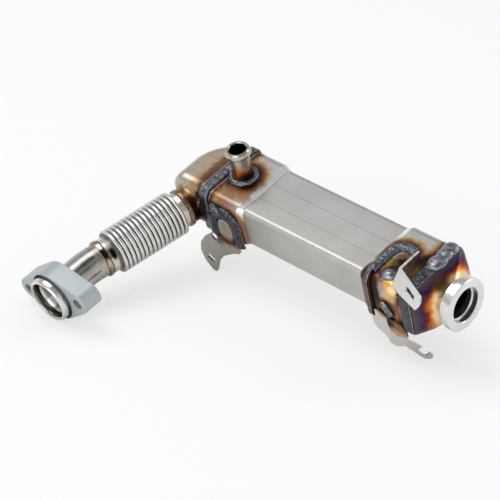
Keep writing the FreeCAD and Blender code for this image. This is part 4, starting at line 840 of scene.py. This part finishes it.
# inside and outside: places behind the mouth and radii of the bell's profile, on both sides of the lip
bell = {"lip": 21.9, "roll": 2.3, "rollDepth": 5.2, "steps": 12, "turns": 96, "mountIn": 4.5, "length": 15.5,
        "overlap": 0.5, "inside": [(16.1, 13.8), (9.6, 19.2), (8.4, 19.7)],
        "outside": [(6.0, 20.9), (8.5, 19.9), (14.0, 16.9), (16.1, 16.0)]}
mouthPlace = Vector(mouth["pos_m"]) + mouthAxis * bell["mountIn"] / 1000
backX = -mouthAxis
backY = coreZ.cross(backX).normalized()
backTurn = Matrix((backX, backY, backX.cross(backY))).transposed().to_4x4()
bellMatrix = Matrix.Translation(mouthPlace) @ backTurn @ Matrix.Scale(0.001, 4)
bellInverse = bellMatrix.inverted()
rolledLip = []
for step in range(bell["steps"] + 1):
    angle = math.pi * (step / bell["steps"] - 0.5)
    rolledLip.append((bell["rollDepth"] - bell["rollDepth"] * math.cos(angle),
                      bell["lip"] - bell["roll"] + bell["roll"] * math.sin(angle)))
flare = turnedShape(bell["inside"] + rolledLip + bell["outside"], bell["turns"], bellMatrix)
flareMesh = bpy.data.meshes.new("flare")
flare.to_mesh(flareMesh)
flare.free()
shape = mergedCopy("outlet_pipe")
cutPlace = bellMatrix @ Vector((bell["length"] + bell["overlap"], 0, 0))
whole = shape.verts[:] + shape.edges[:] + shape.faces[:]
cut = bmesh.ops.bisect_plane(shape, geom=whole, dist=joinWithin["cut"], plane_co=cutPlace,
                             plane_no=mouthAxis, clear_outer=True)
openEnd = [rim for rim in cut["geom_cut"] if isinstance(rim, bmesh.types.BMEdge)]
bmesh.ops.holes_fill(shape, edges=openEnd, sides=0)
shape.from_mesh(flareMesh)
bpy.data.meshes.remove(flareMesh)
for face in shape.faces:
    face.material_index = int((bellInverse @ face.calc_center_median()).x < bell["length"])
bellPiece = keepPiece("outlet_pipe_bell", shape, pipeSteel, sharp=45)
bellPiece.data.materials.append(bellSteel)
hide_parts("outlet_pipe")

# near: how close to the old radius a point lies that is moved out to the wider one
recess = {"radius": 22.0, "wider": 24.1, "near": 0.15, "rounding": 0.6}
shape = mergedCopy("loose_flange")
for vert in shape.verts:
    local = bellInverse @ vert.co
    away = math.hypot(local.y, local.z)
    if abs(away - recess["radius"]) < recess["near"]:
        spread = recess["wider"] / away
        vert.co = bellMatrix @ Vector((local.x, local.y * spread, local.z * spread))
flangePiece = keepPiece("loose_flange_recessed", shape, zincPlate, "flange", sharp=35)
softenEdges(flangePiece, recess["rounding"])
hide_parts("loose_flange")
print("outlet end made")

# cut sheet and turned steel have slightly rounded edges that catch the light
rounded = {
    "clip_bracket": {"material": clipSteel, "slot": "bracket_steel", "width": 0.45},
    "left_bracket": {"material": bracketSteel, "slot": "bracket_steel", "width": 0.4},
    "right_bracket": {"material": rightBracketSteel, "slot": "bracket_steel", "width": 0.4},
    "clamp_flange": {"material": turnedSteel, "slot": "machined_steel", "width": 0.5}}
for name, look in rounded.items():
    piece = keepPiece(name + "_rounded", mergedCopy(name), look["material"], sharp=35)
    softenEdges(piece, look["width"])
    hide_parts(name)
print("edges rounded:", len(rounded))


# bellows: rounded folds with narrow grooves between two plain cuffs, turned about the branch axis

hose = {"start": (-68.0, -36.2, 0.0), "skew": 10.5, "first": 8.8, "cuff": 8.0, "pitch": 4.46, "folds": 16,
        "cuffRadius": 17.0, "bore": 16.1, "root": 16.9, "crest": 21.5, "roundness": 2.9, "steps": 14,
        "turns": 96, "lead": 0.2, "axisRun": 100}
skew = math.radians(hose["skew"])
branchX = Vector((-math.sin(skew), -math.cos(skew), 0))
branchY = Vector((math.cos(skew), -math.sin(skew), 0))
branchTurn = Matrix((branchX, branchY, branchX.cross(branchY))).transposed().to_4x4()
branchMatrix = millimetres @ Matrix.Translation(hose["start"]) @ branchTurn
branchEnd = Vector(hose["start"]) + branchX * hose["axisRun"]

foldStart = hose["first"] + hose["cuff"]
foldEnd = foldStart + hose["pitch"] * hose["folds"]
outline = [(hose["first"], hose["bore"]), (hose["first"], hose["cuffRadius"]),
           (foldStart - hose["lead"], hose["cuffRadius"])]
for step in range(hose["steps"] * hose["folds"] + 1):
    across = abs(2 * (step / hose["steps"] % 1) - 1)
    height = (1 - across ** hose["roundness"]) ** (1 / hose["roundness"])
    outline.append((foldStart + hose["pitch"] * step / hose["steps"],
                    hose["root"] + (hose["crest"] - hose["root"]) * height))
outline += [(foldEnd + hose["lead"], hose["cuffRadius"]), (foldEnd + hose["cuff"], hose["cuffRadius"]),
            (foldEnd + hose["cuff"], hose["bore"])]
grooves = {"bottom": 17.1, "clear": 21.1, "shades": (
    (0.0, (1.0, 0.98, 0.94)), (0.03, (0.05, 0.042, 0.036)), (0.45, (0.08, 0.07, 0.06)),
    (0.80, (0.62, 0.60, 0.57)), (0.95, (1.0, 1.0, 1.0)))}


def grooveShade(tree, vector, base):
    # the grooves between the folds get painted shade, near black at their bottoms, and the cuffs below them
    # are left plain
    deep = distanceToLine(tree, vector, hose["start"], branchEnd)
    share = mapRange(tree, deep, grooves["bottom"], grooves["clear"], smooth=False)
    return mixColour(tree, 1.0, base, ramp(tree, share, grooves["shades"]), "MULTIPLY")


hoseSteel = steelMaterial("hoseSteel", hoseLook, (), "Y", spots=(
    {"place": (-71.0, -51.0, 0.0), "reach": 20.0, "stretch": (1.3, 0.28, 1.3), "tint": (0.42, 0.28, 0.15),
     "strength": 0.75},
    {"place": (-85.5, -131.0, 0.0), "reach": 20.0, "stretch": (1.3, 0.16, 1.3), "tint": (0.62, 0.50, 0.33),
     "strength": 0.6},
    # two painted black reflections on the cuff at the pipe end
    {"place": (-72.8, -129.5, 12.0), "reach": 6.0, "stretch": (1.0, 0.7, 1.0),
     "tint": (0.008, 0.007, 0.007)},
    {"place": (-70.6, -129.8, 8.6), "reach": 6.0, "stretch": (1.0, 0.7, 1.0),
     "tint": (0.008, 0.007, 0.007)}),
    extra=grooveShade)

shape = turnedShape(outline, hose["turns"], branchMatrix)
folds = keepPiece("bellows_folds", shape, hoseSteel)
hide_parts("bellows")
print("bellows made")
